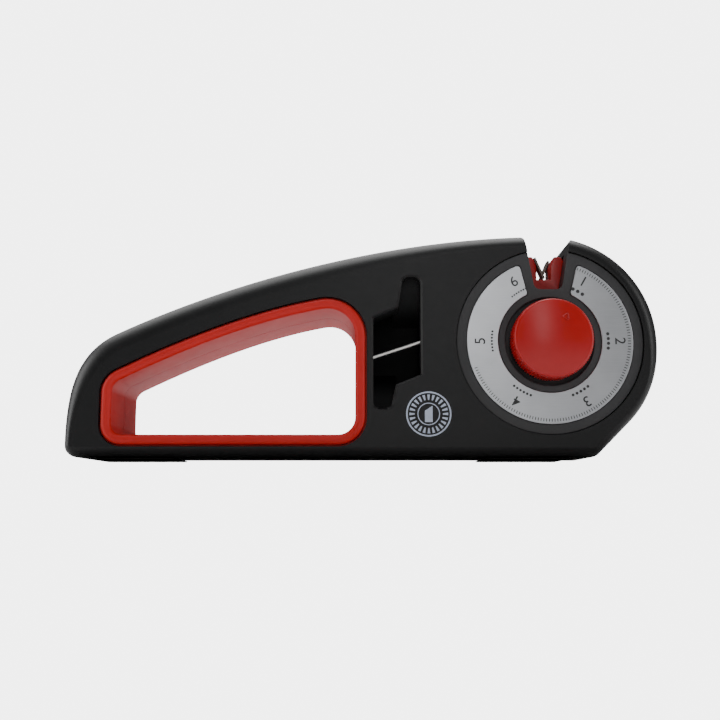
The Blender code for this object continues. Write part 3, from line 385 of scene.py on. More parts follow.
satin = {"Specular IOR Level": 0.3}
glossy = {"Specular IOR Level": 0.4}
blackPlastic = plastic(
    "blackPlastic", (0.0035, 0.0035, 0.0038), (0.0065, 0.0065, 0.007), 0.42, 0.22 * mm, 0.005 * mm, satin
)
wellPlastic = paintedShadePlastic()
dishPlastic = plastic("dishPlastic", (0.016, 0.016, 0.017), (0.032, 0.032, 0.034), 0.55, 0.34 * mm, 0.02 * mm)
redGrip = plastic("redGrip", (0.44, 0.007, 0.005), (0.54, 0.012, 0.009), 0.5, 0.3 * mm, 0.008 * mm, satin)
redGloss = plastic("redGloss", (0.34, 0.003, 0.004), (0.42, 0.005, 0.006), 0.32, 1.2 * mm, 0.003 * mm, glossy)
footRubber = plastic("footRubber", (0.006, 0.006, 0.006), (0.014, 0.014, 0.014), 0.85, 0.5 * mm, 0.03 * mm)
brushedPlate = groundMetal("brushedPlate", (0.36, 0.37, 0.39), (0.6, 0.61, 0.63), 0.34, 0.16 * mm, 0.003 * mm)
plateRim = groundMetal("plateRim", (0.4, 0.4, 0.42), (0.6, 0.6, 0.62), 0.5, 0.3 * mm, 0.001 * mm)
steel = groundMetal("steel", (0.5, 0.5, 0.48), (0.74, 0.73, 0.7), 0.36, 0.12 * mm, 0.002 * mm)
darkSteel = groundMetal("darkSteel", (0.05, 0.04, 0.034), (0.15, 0.125, 0.11), 0.36, 0.1 * mm, 0.002 * mm)
bronze = groundMetal("bushBronze", (0.42, 0.26, 0.12), (0.6, 0.4, 0.2), 0.4, 0.2 * mm, 0.002 * mm)
diamondCoat = abrasive("diamondCoat", (0.22, 0.22, 0.22), (0.5, 0.49, 0.47), 0.11 * mm, 0.5, 0.9)
ceramicStone = abrasive("ceramicStone", (0.66, 0.64, 0.6), (0.86, 0.85, 0.81), 0.08 * mm, 0.6, 0.0)
blackInk = printInk("blackInk", (0.012, 0.012, 0.013), (0.03, 0.03, 0.032), 0.5)
paleInk = printInk("paleInk", (0.42, 0.47, 0.6), (0.5, 0.56, 0.68), 0.55)
print("materials made")

body = dict(
    endRadius=40.3 * mm,
    shoulderIn=17.5 * mm,
    shoulderHeight=46.2 * mm,
    slope=math.radians(25.2),
    risePull=15.9 * mm,
    heelPull=19.0 * mm,
    backPull=42.7 * mm,
    crownPull=60.0 * mm,
    baseCorner=4.2 * mm,
    swell=0.85 * mm,
    edgeDepth=8.0 * mm,
    edgeTop=8.0 * mm,
    edgeEnd=5.8 * mm,
    edgeBase=3.5 * mm,
    rearShare=0.45,  # how round the back's edges are, beside the front's
    cavityEase=0.35,
    wall=2.2 * mm,
    seam=0.3 * mm,
)
halfDepth = (backY - faceY) / 2
crownZ = dialZ + body["endRadius"]


def bodyOutline():
    b = body
    corner = b["baseCorner"]
    heel = (leftX + corner, baseZ + corner)
    shoulder = (leftX + b["shoulderIn"], b["shoulderHeight"])
    run = (math.cos(b["slope"]), math.sin(b["slope"]))
    points = [(x, z, b["edgeBase"]) for x, z in arc(heel, corner, -math.pi / 2, -math.pi, 10)]
    rise = (leftX, heel[1])
    before = (shoulder[0] - run[0] * b["heelPull"], shoulder[1] - run[1] * b["heelPull"])
    side = bezier(rise, (leftX, heel[1] + b["risePull"]), before, shoulder, 30)
    # each point carries its own edge rounding, which eases from one size to the next
    for i, (x, z) in enumerate(side):
        points.append((x, z, b["edgeBase"] + (b["edgeTop"] - b["edgeBase"]) * smooth((i + 1) / 21)))
    after = (shoulder[0] + run[0] * b["backPull"], shoulder[1] + run[1] * b["backPull"])
    back = bezier(shoulder, after, (dialX - b["crownPull"], crownZ), (dialX, crownZ), 60)
    for i, (x, z) in enumerate(back):
        points.append((x, z, b["edgeTop"] + (b["edgeEnd"] - b["edgeTop"]) * smooth((i - 28) / 28)))
    end = arc(dialCentre, b["endRadius"], math.pi / 2, -math.pi / 4, 64)[1:]
    for i, (x, z) in enumerate(end):
        grown = 1 + b["swell"] / b["endRadius"] * smooth((i - 39) / 24)
        x, z = dialX + (x - dialX) * grown, dialZ + (z - dialZ) * grown
        points.append((x, z, b["edgeEnd"] + (b["edgeBase"] - b["edgeEnd"]) * smooth((i - 36) / 20)))
    reach = (b["endRadius"] + b["swell"]) * math.sqrt(0.5)  # the end arc leaves at 45 degrees
    leave = (dialX + reach, dialZ - reach)
    meet = leave[0] - (leave[1] - baseZ)
    toe = (meet - corner * math.tan(math.pi / 8), baseZ + corner)
    return points + [(x, z, b["edgeBase"]) for x, z in arc(toe, corner, -math.pi / 4, -math.pi / 2, 8)]


bodyLine = bodyOutline()


def heightAt(x):
    points = [p for p in bodyLine if p[1] > baseZ + body["baseCorner"] and p[0] <= dialX]
    for a, b in zip(points, points[1:]):
        if a[0] <= x <= b[0]:
            return a[1] + (b[1] - a[1]) * (x - a[0]) / (b[0] - a[0])
    return crownZ


grip = dict(
    left=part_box("grip_liner_front")[0].x,
    right=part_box("grip_liner_front")[1].x,
    floor=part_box("grip_liner_front")[0].z,
    corners=(7.5 * mm, 9.0 * mm, 14.0 * mm, 10.0 * mm),
    bars=(15.0 * mm, 11.1 * mm, 15.05 * mm),
    wall=3.7 * mm,
    proud=0.7 * mm,
    groove=0.6 * mm,
    clearance=0.1 * mm,
    ledge=2.2 * mm,
)


def gripOutline():
    g = grip
    middle = (g["left"] + g["right"]) / 2
    heelBar, middleBar, endBar = g["bars"]
    bow = (middle, heightAt(middle) - middleBar)
    a, b, c, d = g["corners"]
    return rounded(
        [
            (g["left"], g["floor"], a),
            (g["left"], heightAt(g["left"]) - heelBar, b, bow),
            (g["right"], heightAt(g["right"]) - endBar, c),
            (g["right"], g["floor"], d),
        ],
        14,
    )


notch = dict(floorRise=19.2 * mm, floorHalf=5.0 * mm, topHalf=8.7 * mm, floorCorner=2.4 * mm, lip=2.6 * mm)


def notchOutline():
    n = notch
    floor = dialZ + n["floorRise"]
    left = dialX - n["topHalf"]
    right = dialX + n["topHalf"]
    fall = math.asin(n["topHalf"] / body["endRadius"])
    topLeft = heightAt(left)
    topRight = dialZ + body["endRadius"] * math.cos(fall)
    wing = 2 * n["topHalf"]
    lift = math.radians(3)
    above = crownZ + wing
    return rounded(
        [
            (left - wing, above, 0),
            (left - wing, topLeft + wing * math.tan(lift), 0),
            (left, topLeft, n["lip"]),
            (dialX - n["floorHalf"], floor, n["floorCorner"]),
            (dialX + n["floorHalf"], floor, n["floorCorner"]),
            (right, topRight, n["lip"]),
            (right + wing, topRight - wing * math.tan(fall - lift), 0),
            (right + wing, above, 0),
        ],
        8,
    )[::-1]


window = dict(
    toDial=46.8 * mm,
    width=17.2 * mm,
    slot=8.2 * mm,
    taper=1.9 * mm,
    floor=18.2 * mm,
    topBar=13.1 * mm,
    middle=40.6 * mm,
    well=14.0 * mm,
    stepRise=3.6 * mm,
    chamfer=0.7 * mm,
    guideWall=1.2 * mm,
    guideBack=4.0 * mm,
)
windowRight = dialX - window["toDial"]
windowLeft = windowRight - window["width"]
windowTop = heightAt(windowRight) - window["topBar"]


def windowOutline():
    w = window
    upper = w["middle"] + w["well"]
    lower = w["middle"] - w["well"]
    return rounded(
        [
            (windowLeft, w["floor"], 2.0 * mm),
            (windowLeft, upper - w["stepRise"], 0.6 * mm),
            (windowRight - w["slot"], upper, 0.6 * mm),
            (windowRight - w["slot"] + w["taper"], windowTop, 2.6 * mm),
            (windowRight, windowTop, 2.6 * mm),
            (windowRight, lower + w["stepRise"], 0.6 * mm),
            (windowLeft + w["slot"], lower, 0.6 * mm),
            (windowLeft + w["slot"] - w["taper"], w["floor"], 2.0 * mm),
        ],
        6,
    )


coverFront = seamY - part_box("dial_cover")[0].y
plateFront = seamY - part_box("dial_plate")[0].y
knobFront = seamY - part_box("selector_knob")[0].y
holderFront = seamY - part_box("holder_coarse")[0].y
dial = dict(
    dishRadius=34.0 * mm,
    dishDepth=2.4 * mm,
    wellRadius=16.1 * mm,
    plateOuter=30.1 * mm,
    plateInner=18.8 * mm,
    plateCorner=1.2 * mm,
    gapLow=8.25 * mm,
    gapSpread=0.244,
    pocketRadius=35.0 * mm,
    bossRadius=8.1 * mm,
    firstStation=math.radians(30),
)


def shellRings(side, wall, back):
    b = body
    flat = [(x, z) for x, z, _ in bodyLine]
    normals = inward(flat)
    rounding = 1.0 if side > 0 else b["rearShare"]
    straight = halfDepth - b["edgeDepth"] * rounding
    face = halfDepth - wall

    def ring(forward, share):
        points = []
        for (x, z, edge), normal in zip(bodyLine, normals):
            inset = wall + share * (edge * rounding - b["cavityEase"] * wall)
            if edge <= b["edgeBase"]:
                inset = min(inset, b["baseCorner"] - b["seam"])
            points.append((x + normal.x * inset, seamY - side * forward, z + normal.y * inset))
        return points

    steps = 12
    turns = [math.pi / 2 * i / steps for i in range(1, steps + 1)]
    rings = [ring(-back, 0.0), ring(straight, 0.0)]
    return rings + [ring(straight + (face - straight) * math.sin(a), 1 - math.cos(a)) for a in turns]


def screwCentres():
    names = sorted(n for n in nodes if n.startswith("case_screw_"))
    boxes = [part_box(n) for n in names]
    return [((lo.x + hi.x) / 2, (lo.z + hi.z) / 2) for lo, hi in boxes]


def chamferedCut(name, outline, chamfer, face):
    steps = (
        (0.0, face - 3 * body["wall"]), (0.0, face - chamfer), (-chamfer, face), (-chamfer, face + 2 * mm)
    )
    return swept(name, [[(x, seamY - f, z) for x, z in offset(outline, d)] for d, f in steps], False)


inside = dict(
    gripWall=1.2 * mm,
    notchWall=1.8 * mm,
    screwBoss=4.4 * mm,
    screwPilot=1.6 * mm,
    pilotDepth=9.3 * mm,
    headHole=2.9 * mm,
    headSeat=3.0 * mm,
    frontBoss=12.2 * mm,
    rearBoss=6.4 * mm,
    bushHole=5.3 * mm,
    frontBush=17.1 * mm,
    rearBush=16.0 * mm,
    shaftHole=3.6 * mm,
    pocketBack=0.8 * mm,
    pocketFront=11.8 * mm,
    edge=0.35 * mm,
)


def makeShell(side):
    label = "front" if side > 0 else "rear"
    b, n = body, inside
    reach = halfDepth + 2 * mm
    back, front = (-2 * mm, reach) if side > 0 else (-reach, 2 * mm)
    shell = swept(label + "Shell", shellRings(side, 0.0, -b["seam"] / 2), False, 25.0)
    cavity = swept("cavity", shellRings(side, b["wall"], b["wall"]), False)
    walls = [slab("gripWall", offset(gripOutline(), -(grip["groove"] + n["gripWall"])), back, front)]
    walls.append(slab("notchWall", offset(notchOutline(), -n["notchWall"]), back, front))
    for i, centre in enumerate(screwCentres()):
        walls.append(disc(f"boss{i}", n["screwBoss"], back, front, 24, centre))
    boss = (n["frontBoss"], reach) if side > 0 else (-reach, -n["rearBoss"])
    walls.append(disc("bushBoss", dial["bossRadius"], *boss, 32))
    if side > 0:
        wallBack = halfDepth - dial["dishDepth"] - b["wall"]
        walls.append(disc("dialWall", dial["dishRadius"] + b["wall"], wallBack, reach))
    carve(cavity, *walls)
    cuts = [cavity, slab("gripCut", offset(gripOutline(), -grip["groove"]), -2 * reach, 2 * reach)]
    cuts.append(slab("notchCut", notchOutline(), -2 * reach, 2 * reach))
    cuts.append(disc("pocket", dial["pocketRadius"], -n["pocketBack"], n["pocketFront"]))
    if side > 0:
        cuts.append(disc("dishCut", dial["dishRadius"], halfDepth - dial["dishDepth"], reach, 128))
        cuts.append(chamferedCut("windowCut", windowOutline(), window["chamfer"], halfDepth))
        cuts.append(disc("bushCut", n["bushHole"], 0.0, n["frontBush"], 32))
        cuts.append(disc("shaftCut", n["shaftHole"], 0.0, reach, 32))
    else:
        cuts.append(disc("bushCut", n["bushHole"], -n["rearBush"], 2 * mm, 32))
    for i, centre in enumerate(screwCentres()):
        if side > 0:
            cuts.append(disc(f"pilot{i}", n["screwPilot"], -2 * mm, n["pilotDepth"], 16, centre))
        else:
            seat, narrow, wide = n["headSeat"] - halfDepth, n["screwPilot"], n["headHole"]
            step = [(0, 2 * mm), (narrow, 2 * mm), (narrow, seat), (wide, seat), (wide, -reach), (0, -reach)]
            cuts.append(turned(f"hole{i}", step, 32, centre))
    carve(shell, *cuts)
    softEdges(shell, n["edge"], 2)
    painted(shell, blackPlastic)
    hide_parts(label + "_housing")
    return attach(shell, "body")


makeShell(1)
makeShell(-1)
print("shells made")


def gripLiner(name, side, node):
    g = grip
    outline = gripOutline()
    face = halfDepth + g["proud"]
    roll = g["wall"] / 2
    skirt, ledge = g["clearance"] - g["groove"], halfDepth - g["ledge"]
    section = [(skirt, body["seam"] / 2), (skirt, ledge), (0.0, ledge), (0.0, face - roll)]
    for i in range(1, 14):
        a = math.pi * i / 14
        section.append((roll - roll * math.cos(a), face - roll + roll * math.sin(a)))
    section += [(g["wall"], face - roll), (g["wall"], body["seam"] / 2)]
    rings = [[(x, seamY - side * f, z) for x, z in offset(outline, d)] for d, f in section]
    liner = swept(name, rings, True, 50.0)
    painted(liner, redGrip)
    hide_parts(node)
    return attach(liner, "body")


gripLiner("gripLinerFront", 1, "grip_liner_front")
gripLiner("gripLinerRear", -1, "grip_liner_rear")


def plateOutline(grow=0.0):
    d = dial
    outer, inner = d["plateOuter"] + grow, d["plateInner"] - grow

    def endAngle(radius):
        half = d["gapLow"]
        for _ in range(8):
            half = d["gapLow"] - grow + d["gapSpread"] * (math.sqrt(radius**2 - half**2) - d["plateInner"])
        return math.asin(half / radius)

    a, b = endAngle(outer), endAngle(inner)
    quarter = math.pi / 2
    outside = arc(dialCentre, outer, quarter - a, quarter + a - math.tau, 110)
    inside = arc(dialCentre, inner, quarter + b - math.tau, quarter - b, 90)
    points = outside + inside
    sharp = {0, len(outside) - 1, len(outside), len(points) - 1}
    return rounded([(x, z, d["plateCorner"] if i in sharp else 0) for i, (x, z) in enumerate(points)], 6)


def dialCover():
    back = halfDepth - dial["dishDepth"] + 0.3 * mm
    outer = dial["dishRadius"] - 0.06 * mm
    profile = [(dial["wellRadius"], coverFront - 0.3 * mm), (dial["wellRadius"] + 0.3 * mm, coverFront)]
    for i in range(7):
        a = math.pi / 2 * i / 6
        profile.append(
            (outer - 0.5 * mm + 0.5 * mm * math.sin(a), coverFront - 0.5 * mm + 0.5 * mm * math.cos(a))
        )
    profile += [(outer, back), (dial["wellRadius"], back)]
    cover = turned("dialCover", profile, 160)
    seat = slab("seat", plateOutline(0.3 * mm), coverFront - 0.5 * mm, halfDepth + 2 * mm)
    carve(cover, slab("notchCut", notchOutline(), 0, halfDepth + 2 * mm), seat)
    softEdges(cover, 0.15 * mm, 2)
    painted(cover, dishPlastic)
    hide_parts("dial_cover")
    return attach(cover, "body")


def dialPlate():
    # the face, and a bright bevelled rim round it
    back = plateFront - 0.6 * mm
    bevel = 0.16 * mm
    line = plateOutline()
    steps = (
        (0.0, back),
        (0.0, plateFront - bevel),
        (0.35 * bevel, plateFront - 0.35 * bevel),
        (bevel, plateFront),
    )
    plate = swept(
        "dialPlate", [[(x, seamY - f, z) for x, z in offset(line, d)] for d, f in steps], False, 15.0
    )
    painted(plate, brushedPlate, plateRim)
    for face in plate.data.polygons:
        face.material_index = 0 if face.normal.y < -0.95 else 1
    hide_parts("dial_plate")
    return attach(plate, "body")


dialCover()
dialPlate()


def newTree(name, kinds):
    # what both trees share: copies of a shape on points, made real and painted
    tree = bpy.data.node_groups.new(name, "GeometryNodeTree")
    tree.interface.new_socket("Geometry", in_out="OUTPUT", socket_type="NodeSocketGeometry")
    for title, kind in dict(kinds, Shape="Object", Finish="Material").items():
        tree.interface.new_socket(title, in_out="INPUT", socket_type="NodeSocket" + kind)
    add, link = tree.nodes.new, tree.links.new
    source, sink, copies = add("NodeGroupInput"), add("NodeGroupOutput"), add("GeometryNodeInstanceOnPoints")
    shape, real, paint = (
        add("GeometryNode" + kind) for kind in ("ObjectInfo", "RealizeInstances", "SetMaterial")
    )
    link(source.outputs["Shape"], shape.inputs["Object"])
    link(shape.outputs["Geometry"], copies.inputs["Instance"])
    link(copies.outputs[0], real.inputs[0])
    link(real.outputs[0], paint.inputs["Geometry"])
    link(source.outputs["Finish"], paint.inputs["Material"])
    link(paint.outputs[0], sink.inputs[0])
    return tree, source, copies


def arcTree():
    # copies on an arc about an axis along Y, each turned to point outwards
    kinds = dict(Count="Int", Radius="Float", Start="Float", Step="Float", Centre="Vector")
    tree, source, copies = newTree("copiesOnArc", kinds)
    add, link = tree.nodes.new, tree.links.new
    index, points = add("GeometryNodeInputIndex"), add("GeometryNodePoints")

    def maths(operation, a, b=None):
        made = add("ShaderNodeMath")
        made.operation = operation
        for socket, value in zip(made.inputs, (a, b)):
            if isinstance(value, (int, float)):
                socket.default_value = value
            elif value:
                link(value, socket)
        return made.outputs[0]

    turn = maths("ADD", maths("MULTIPLY", index.outputs[0], source.outputs["Step"]), source.outputs["Start"])
    place, swing = add("ShaderNodeCombineXYZ"), add("ShaderNodeCombineXYZ")
    shift = add("ShaderNodeVectorMath")
    link(maths("MULTIPLY", maths("SINE", turn), source.outputs["Radius"]), place.inputs["X"])
    link(maths("MULTIPLY", maths("COSINE", turn), source.outputs["Radius"]), place.inputs["Z"])
    link(turn, swing.inputs["Y"])
    link(place.outputs[0], shift.inputs[0])
    link(source.outputs["Centre"], shift.inputs[1])
    link(source.outputs["Count"], points.inputs["Count"])
    link(shift.outputs[0], points.inputs["Position"])
    link(points.outputs[0], copies.inputs["Points"])
    link(swing.outputs[0], copies.inputs["Rotation"])
    return tree


def pointTree():
    # copies on the piece's own points
    tree, source, copies = newTree("copiesOnPoints", dict(Points="Geometry"))
    tree.links.new(source.outputs["Points"], copies.inputs["Points"])
    return tree


onArc = arcTree()
onPoints = pointTree()


def repeated(name, tree, shape, finish, points=(), **values):
    # runs a tree and keeps the result as a plain mesh
    mesh = bpy.data.meshes.new(name)
    mesh.from_pydata(list(points), [], [])
    piece = newPiece(name, mesh)
    modifier = piece.modifiers.new("copies", "NODES")
    modifier.node_group = tree
    values.update(Shape=shape, Finish=finish)
    for item in tree.interface.items_tree:
        if item.in_out == "INPUT" and item.name in values:
            modifier[item.identifier] = values[item.name]
    applied(piece)
    bpy.data.objects.remove(shape)
    piece.data.shade_smooth()
    piece.data.set_sharp_from_angle(angle=math.radians(40))
    return painted(piece, finish)


def bar(name, width, height, depth, easing=0.0):
    # a flat bar centred on the origin: width along X, depth along Y, height along Z
    build = bmesh.new()
    bmesh.ops.create_cube(build, size=1.0)
    bmesh.ops.scale(build, vec=(width, depth, height), verts=build.verts)
    if easing:
        bmesh.ops.bevel(build, geom=build.edges[:], offset=easing, segments=2, affect="EDGES", profile=0.5)
    return finishMesh(build, name)


knob = dict(
    radius=14.5 * mm,
    faceRadius=13.5 * mm,
    dome=1.9 * mm,
    edge=1.2 * mm,
    ribs=90,
    ribWidth=0.62 * mm,
    pointerAt=8.4 * mm,
    pointerSize=1.5 * mm,
)


def selectorKnob():
    k = knob
    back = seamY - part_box("selector_knob")[1].y
    ball = (k["faceRadius"] ** 2 + k["dome"] ** 2) / (2 * k["dome"])
    profile = []
    for i in range(25):
        radius = (k["faceRadius"] - 1.2 * mm) * i / 24
        profile.append((radius, knobFront - ball + math.sqrt(ball**2 - radius**2)))
    last = profile[-1]
    side = (k["radius"] - 0.35 * mm, last[1] - k["edge"] - 0.3 * mm)
    profile += bezier(
        last, (last[0] + 1.2 * mm, last[1] - 0.35 * mm), (side[0], side[1] + 1.3 * mm), side, 12
    )
    profile += [
        (side[0], back + 0.3 * mm),
        (side[0] - 0.3 * mm, back),
        (3.3 * mm, back),
        (3.3 * mm, back + 6.3 * mm),
        (0, back + 6.3 * mm),
    ]
    cap = turned("selectorKnob", profile, 180, None, 30.0)
    painted(cap, redGloss)
    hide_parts("selector_knob")
    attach(cap, "turret")
    tall = side[1] - back - 0.4 * mm
    rib = bar("rib", k["ribWidth"], 0.55 * mm, tall, 0.14 * mm)
    rib.data.transform(Matrix.Translation((0, seamY - (back + 0.2 * mm + tall / 2), 0)))
    step = math.tau / k["ribs"]
    ribs = repeated(
        "knobRibs",
        onArc,
        rib,
        redGloss,
        Count=k["ribs"],
        Radius=side[0],
        Start=0.0,
        Step=step,
        Centre=(dialX, 0, dialZ),
    )
    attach(ribs, "turret")
    return ball


def knobPointer(ball):
    # a raised line round a small triangle that points at the chosen station
    k = knob
    corners = []
    for i in range(3):
        a = math.pi / 2 - i * math.tau / 3
        corners.append(
            (k["pointerSize"] * math.cos(a), k["pointerAt"] + k["pointerSize"] * math.sin(a), 0.3 * mm)
        )
    line = rounded(corners, 4)
    wide = 0.2 * mm
    rows = []
    half = [(-wide, -0.3 * mm), (-wide, 0.1 * mm), (-0.5 * wide, 0.2 * mm)]
    for shift, lift in half + [(-shift, lift) for shift, lift in reversed(half)]:
        row = []
        for x, z in offset(line, shift):
            forward = knobFront - ball + math.sqrt(ball**2 - x * x - z * z) + lift
            row.append((x + dialX, seamY - forward, z + dialZ))
        rows.append(row)
    pointer = swept("knobPointer", rows, True, 60.0)
    pointer.data.transform(aboutDial(dial["firstStation"]))
    painted(pointer, redGloss)
    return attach(pointer, "turret")


knobPointer(selectorKnob())
print("dial made")

marks = dict(
    thick=0.05 * mm,
    numberSize=5.4 * mm,
    bold=0.03 * mm,
    numberAt=25.2 * mm,
    dotsAt=21.1 * mm,
    scaleAt=28.7 * mm,
    scaleStart=math.radians(22),
    scaleEnd=math.radians(250),
    scaleCount=115,
)


def onPlate(piece):
    painted(piece, blackInk)
    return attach(piece, "body")


def textMesh(words, size, thick, bold):
    curve = bpy.data.curves.new("words", "FONT")
    curve.body = words
    curve.size = size
    curve.extrude = thick
    curve.offset = bold
    curve.align_x = "CENTER"
    curve.align_y = "CENTER"
    drawn = newPiece("words", curve)
    bpy.context.view_layer.update()
    mesh = bpy.data.meshes.new_from_object(drawn.evaluated_get(bpy.context.evaluated_depsgraph_get()))
    bpy.data.objects.remove(drawn)
    mesh.transform(Matrix.Rotation(math.pi / 2, 4, "X"))
    return mesh


def stationNumbers():
    m = marks
    meshes = []
    for k in range(6):
        mesh = textMesh(str(k + 1), m["numberSize"], m["thick"], m["bold"])
        mesh.transform(Matrix.Translation((dialX, seamY - plateFront, dialZ + m["numberAt"])))
        mesh.transform(aboutDial(dial["firstStation"] + k * math.tau / 6))
        meshes.append(mesh)
    return onPlate(joined("stationNumbers", meshes))


def gritDots():
    # coarser stations have fewer and larger dots
    m = marks
    for k in range(6):
        count = 3 + k
        size = (1.3 - 0.13 * k) * mm
        spot = bmesh.new()
        bmesh.ops.create_cone(
            spot, cap_ends=True, segments=20, radius1=size / 2, radius2=size / 2, depth=2 * m["thick"]
        )
        bmesh.ops.rotate(spot, matrix=Matrix.Rotation(math.pi / 2, 3, "X"), verts=spot.verts)
        bmesh.ops.translate(spot, vec=(0, seamY - plateFront, 0), verts=spot.verts)
        step = 1.5 * size / m["dotsAt"]
        start = dial["firstStation"] + k * math.tau / 6 - step * (count - 1) / 2
        dots = repeated(
            f"gritDots{k + 1}", onArc, finishMesh(spot, "spot"), blackInk,
            Count=count, Radius=m["dotsAt"], Start=start, Step=step, Centre=(dialX, 0, dialZ),
        )
        onPlate(dots)


def rimScale():
    m = marks
    tick = bar("tick", 0.26 * mm, 1.1 * mm, 2 * m["thick"])
    tick.data.transform(Matrix.Translation((0, seamY - plateFront, 0)))
    step = (m["scaleEnd"] - m["scaleStart"]) / (m["scaleCount"] - 1)
    scale = repeated(
        "rimScale", onArc, tick, blackInk,
        Count=m["scaleCount"], Radius=m["scaleAt"], Start=m["scaleStart"], Step=step, Centre=(
            dialX, 0, dialZ
        ),
    )
    onPlate(scale)


stationNumbers()
gritDots()
rimScale()

badge = dict(x=23.5 * mm, z=15.9 * mm, radius=8.1 * mm, line=0.55 * mm, wedges=24, thick=0.05 * mm)


def frontBadge():
    b = badge
    centre = (b["x"], b["z"])
    place = seamY - halfDepth
    front, back = halfDepth + b["thick"], halfDepth - b["thick"]
    shapes = []
    for outer, width in ((b["radius"], b["line"]), (0.5 * b["radius"], 0.6 * b["line"])):
        section = [(outer, front), (outer, back), (outer - width, back), (outer - width, front)]
        shapes.append(turned("ring", section, 96, centre))
    tip, half = 0.36 * b["radius"], 0.17 * b["radius"]
    left, right = b["x"] - half, b["x"] + half
    bladeLine = [
        (left, b["z"] - tip), (left, b["z"] + 0.4 * tip), (right, b["z"] + tip), (right, b["z"] - tip)
    ]
    shapes.append(slab("bladeMark", bladeLine, back, front))
    emblem = joined("badgeRings", [shape.data for shape in shapes])
    for shape in shapes:
        bpy.data.objects.remove(shape)
    wedge = bmesh.new()
    low, high = 0.62 * b["radius"], 0.86 * b["radius"]
    corners = [(-0.22 * mm, low), (0.22 * mm, low), (0.5 * mm, high), (-0.5 * mm, high)]
    rows = [[wedge.verts.new((x, place + y, z)) for x, z in corners] for y in (-b["thick"], b["thick"])]
    wedge.faces.new(rows[0])
    wedge.faces.new(rows[1])
    for i in range(4):
        wedge.faces.new((rows[0][i], rows[0][i - 1], rows[1][i - 1], rows[1][i]))
    bmesh.ops.recalc_face_normals(wedge, faces=wedge.faces)
    step = math.tau / b["wedges"]
    wedges = repeated(
        "badgeWedges",
        onArc,
        finishMesh(wedge, "wedge"),
        paleInk,
        Count=b["wedges"],
        Radius=0.0,
        Start=0.0,
        Step=step,
        Centre=(b["x"], 0, b["z"]),
    )
    for piece in (emblem, wedges):
        painted(piece, paleInk)
        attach(piece, "body")


frontBadge()
print("marks made")

holder = dict(
    width=15.4 * mm,
    corner=2.3 * mm,
    tenon=6.0 * mm,
    tenonDepth=3.0 * mm,
    flat=14.6 * mm,
    veeMouth=5.5 * mm,
    veeDepth=6.4 * mm,
    pocketHalf=2.6 * mm,
    pocket=2.4 * mm,
    blade=0.9 * mm,
    stone=1.4 * mm,
    clearance=0.3 * mm,
    depth=11 * mm,
    easing=0.4 * mm,
)
blades = {
    "coarse": (darkSteel, "dark_steel"),
    "medium": (diamondCoat, "diamond_coat"),
    "fine": (diamondCoat, "diamond_coat"),
    "serrated": (ceramicStone, "ceramic_stone"),
    "ceramic": (ceramicStone, "ceramic_stone"),
    "single_edge": (darkSteel, "dark_steel"),
}


def insertHolder(station, turn):
    h = holder
    thick = h["stone"] if blades[station][1] == "ceramic_stone" else h["blade"]
    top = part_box("holder_coarse")[1].z
    seat = dialZ + h["flat"] + h["clearance"]
    foot = seat - h["tenonDepth"]
    slope = h["veeMouth"] / 2 / h["veeDepth"]
    backOff = (thick + h["clearance"]) * math.sqrt(1 + slope**2)
    pocket = h["pocketHalf"] + thick - h["blade"]
    pocketTop = top - h["veeDepth"] + (pocket - backOff) / slope
    pocketFloor = top - h["veeDepth"] - h["pocket"]
    half, tenon = h["width"] / 2, h["tenon"] / 2
    right = [
        (h["veeMouth"] / 2 + backOff, top, 0.8 * mm),
        (half, top, h["corner"]),
        (half, seat, 0.6 * mm),
        (tenon, seat, 0),
        (tenon, foot, 0),
    ]
    left = [(-x, z, r) for x, z, r in reversed(right)]
    vee = [
        (-pocket, pocketTop, 0), (-pocket, pocketFloor, 0), (pocket, pocketFloor, 0), (pocket, pocketTop, 0)
    ]
    outline = rounded([(dialX + x, z, r) for x, z, r in right + left + vee], 8)
    back, easing = holderFront - h["depth"], h["easing"]
    turns = [math.pi / 8 * i for i in range(5)]
    section = [(easing * (1 - math.cos(a)), back + easing * (1 - math.sin(a))) for a in reversed(turns)]
    section += [(easing * (1 - math.cos(a)), holderFront - easing * (1 - math.sin(a))) for a in turns]
    rings = [[(x, seamY - f, z) for x, z in offset(outline, d)] for d, f in section]
    piece = swept("holder" + station.title().replace("_", ""), rings, False, 28.0)
    piece.data.transform(aboutDial(turn))
    painted(piece, redGloss)
    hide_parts("holder_" + station)
    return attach(piece, "turret")


def refined(node, name, finish, bodyName, width, segments=2, angle=30.0):
    # a copy of a plain node with its edges eased
    build = bmesh.new()
    build.from_mesh(nodes[node].data)
    bmesh.ops.remove_doubles(build, verts=build.verts, dist=0.002 * mm)
    bmesh.ops.dissolve_limit(build, angle_limit=math.radians(1), verts=build.verts, edges=build.edges)
    piece = finishMesh(build, name)
    softEdges(piece, width, segments, angle)
    painted(piece, finish)
    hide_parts(node)
    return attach(piece, bodyName)


for k, (station, (finish, slot)) in enumerate(blades.items()):
    insertHolder(station, k * math.tau / 6)
    for side in ("left", "right"):
        name = f"blade_{station}_{side}"
        refined(name, "fine_" + name, finish, "turret", 0.12 * mm)

refined("heel_pad", "heelPad", footRubber, "body", 0.2 * mm)
refined("toe_pad", "toePad", footRubber, "body", 0.2 * mm)
refined("detent_spring", "detentSpring", steel, "body", 0.06 * mm)
refined("turret_hub", "turretHub", blackPlastic, "turret", 0.15 * mm)
print("turret made")


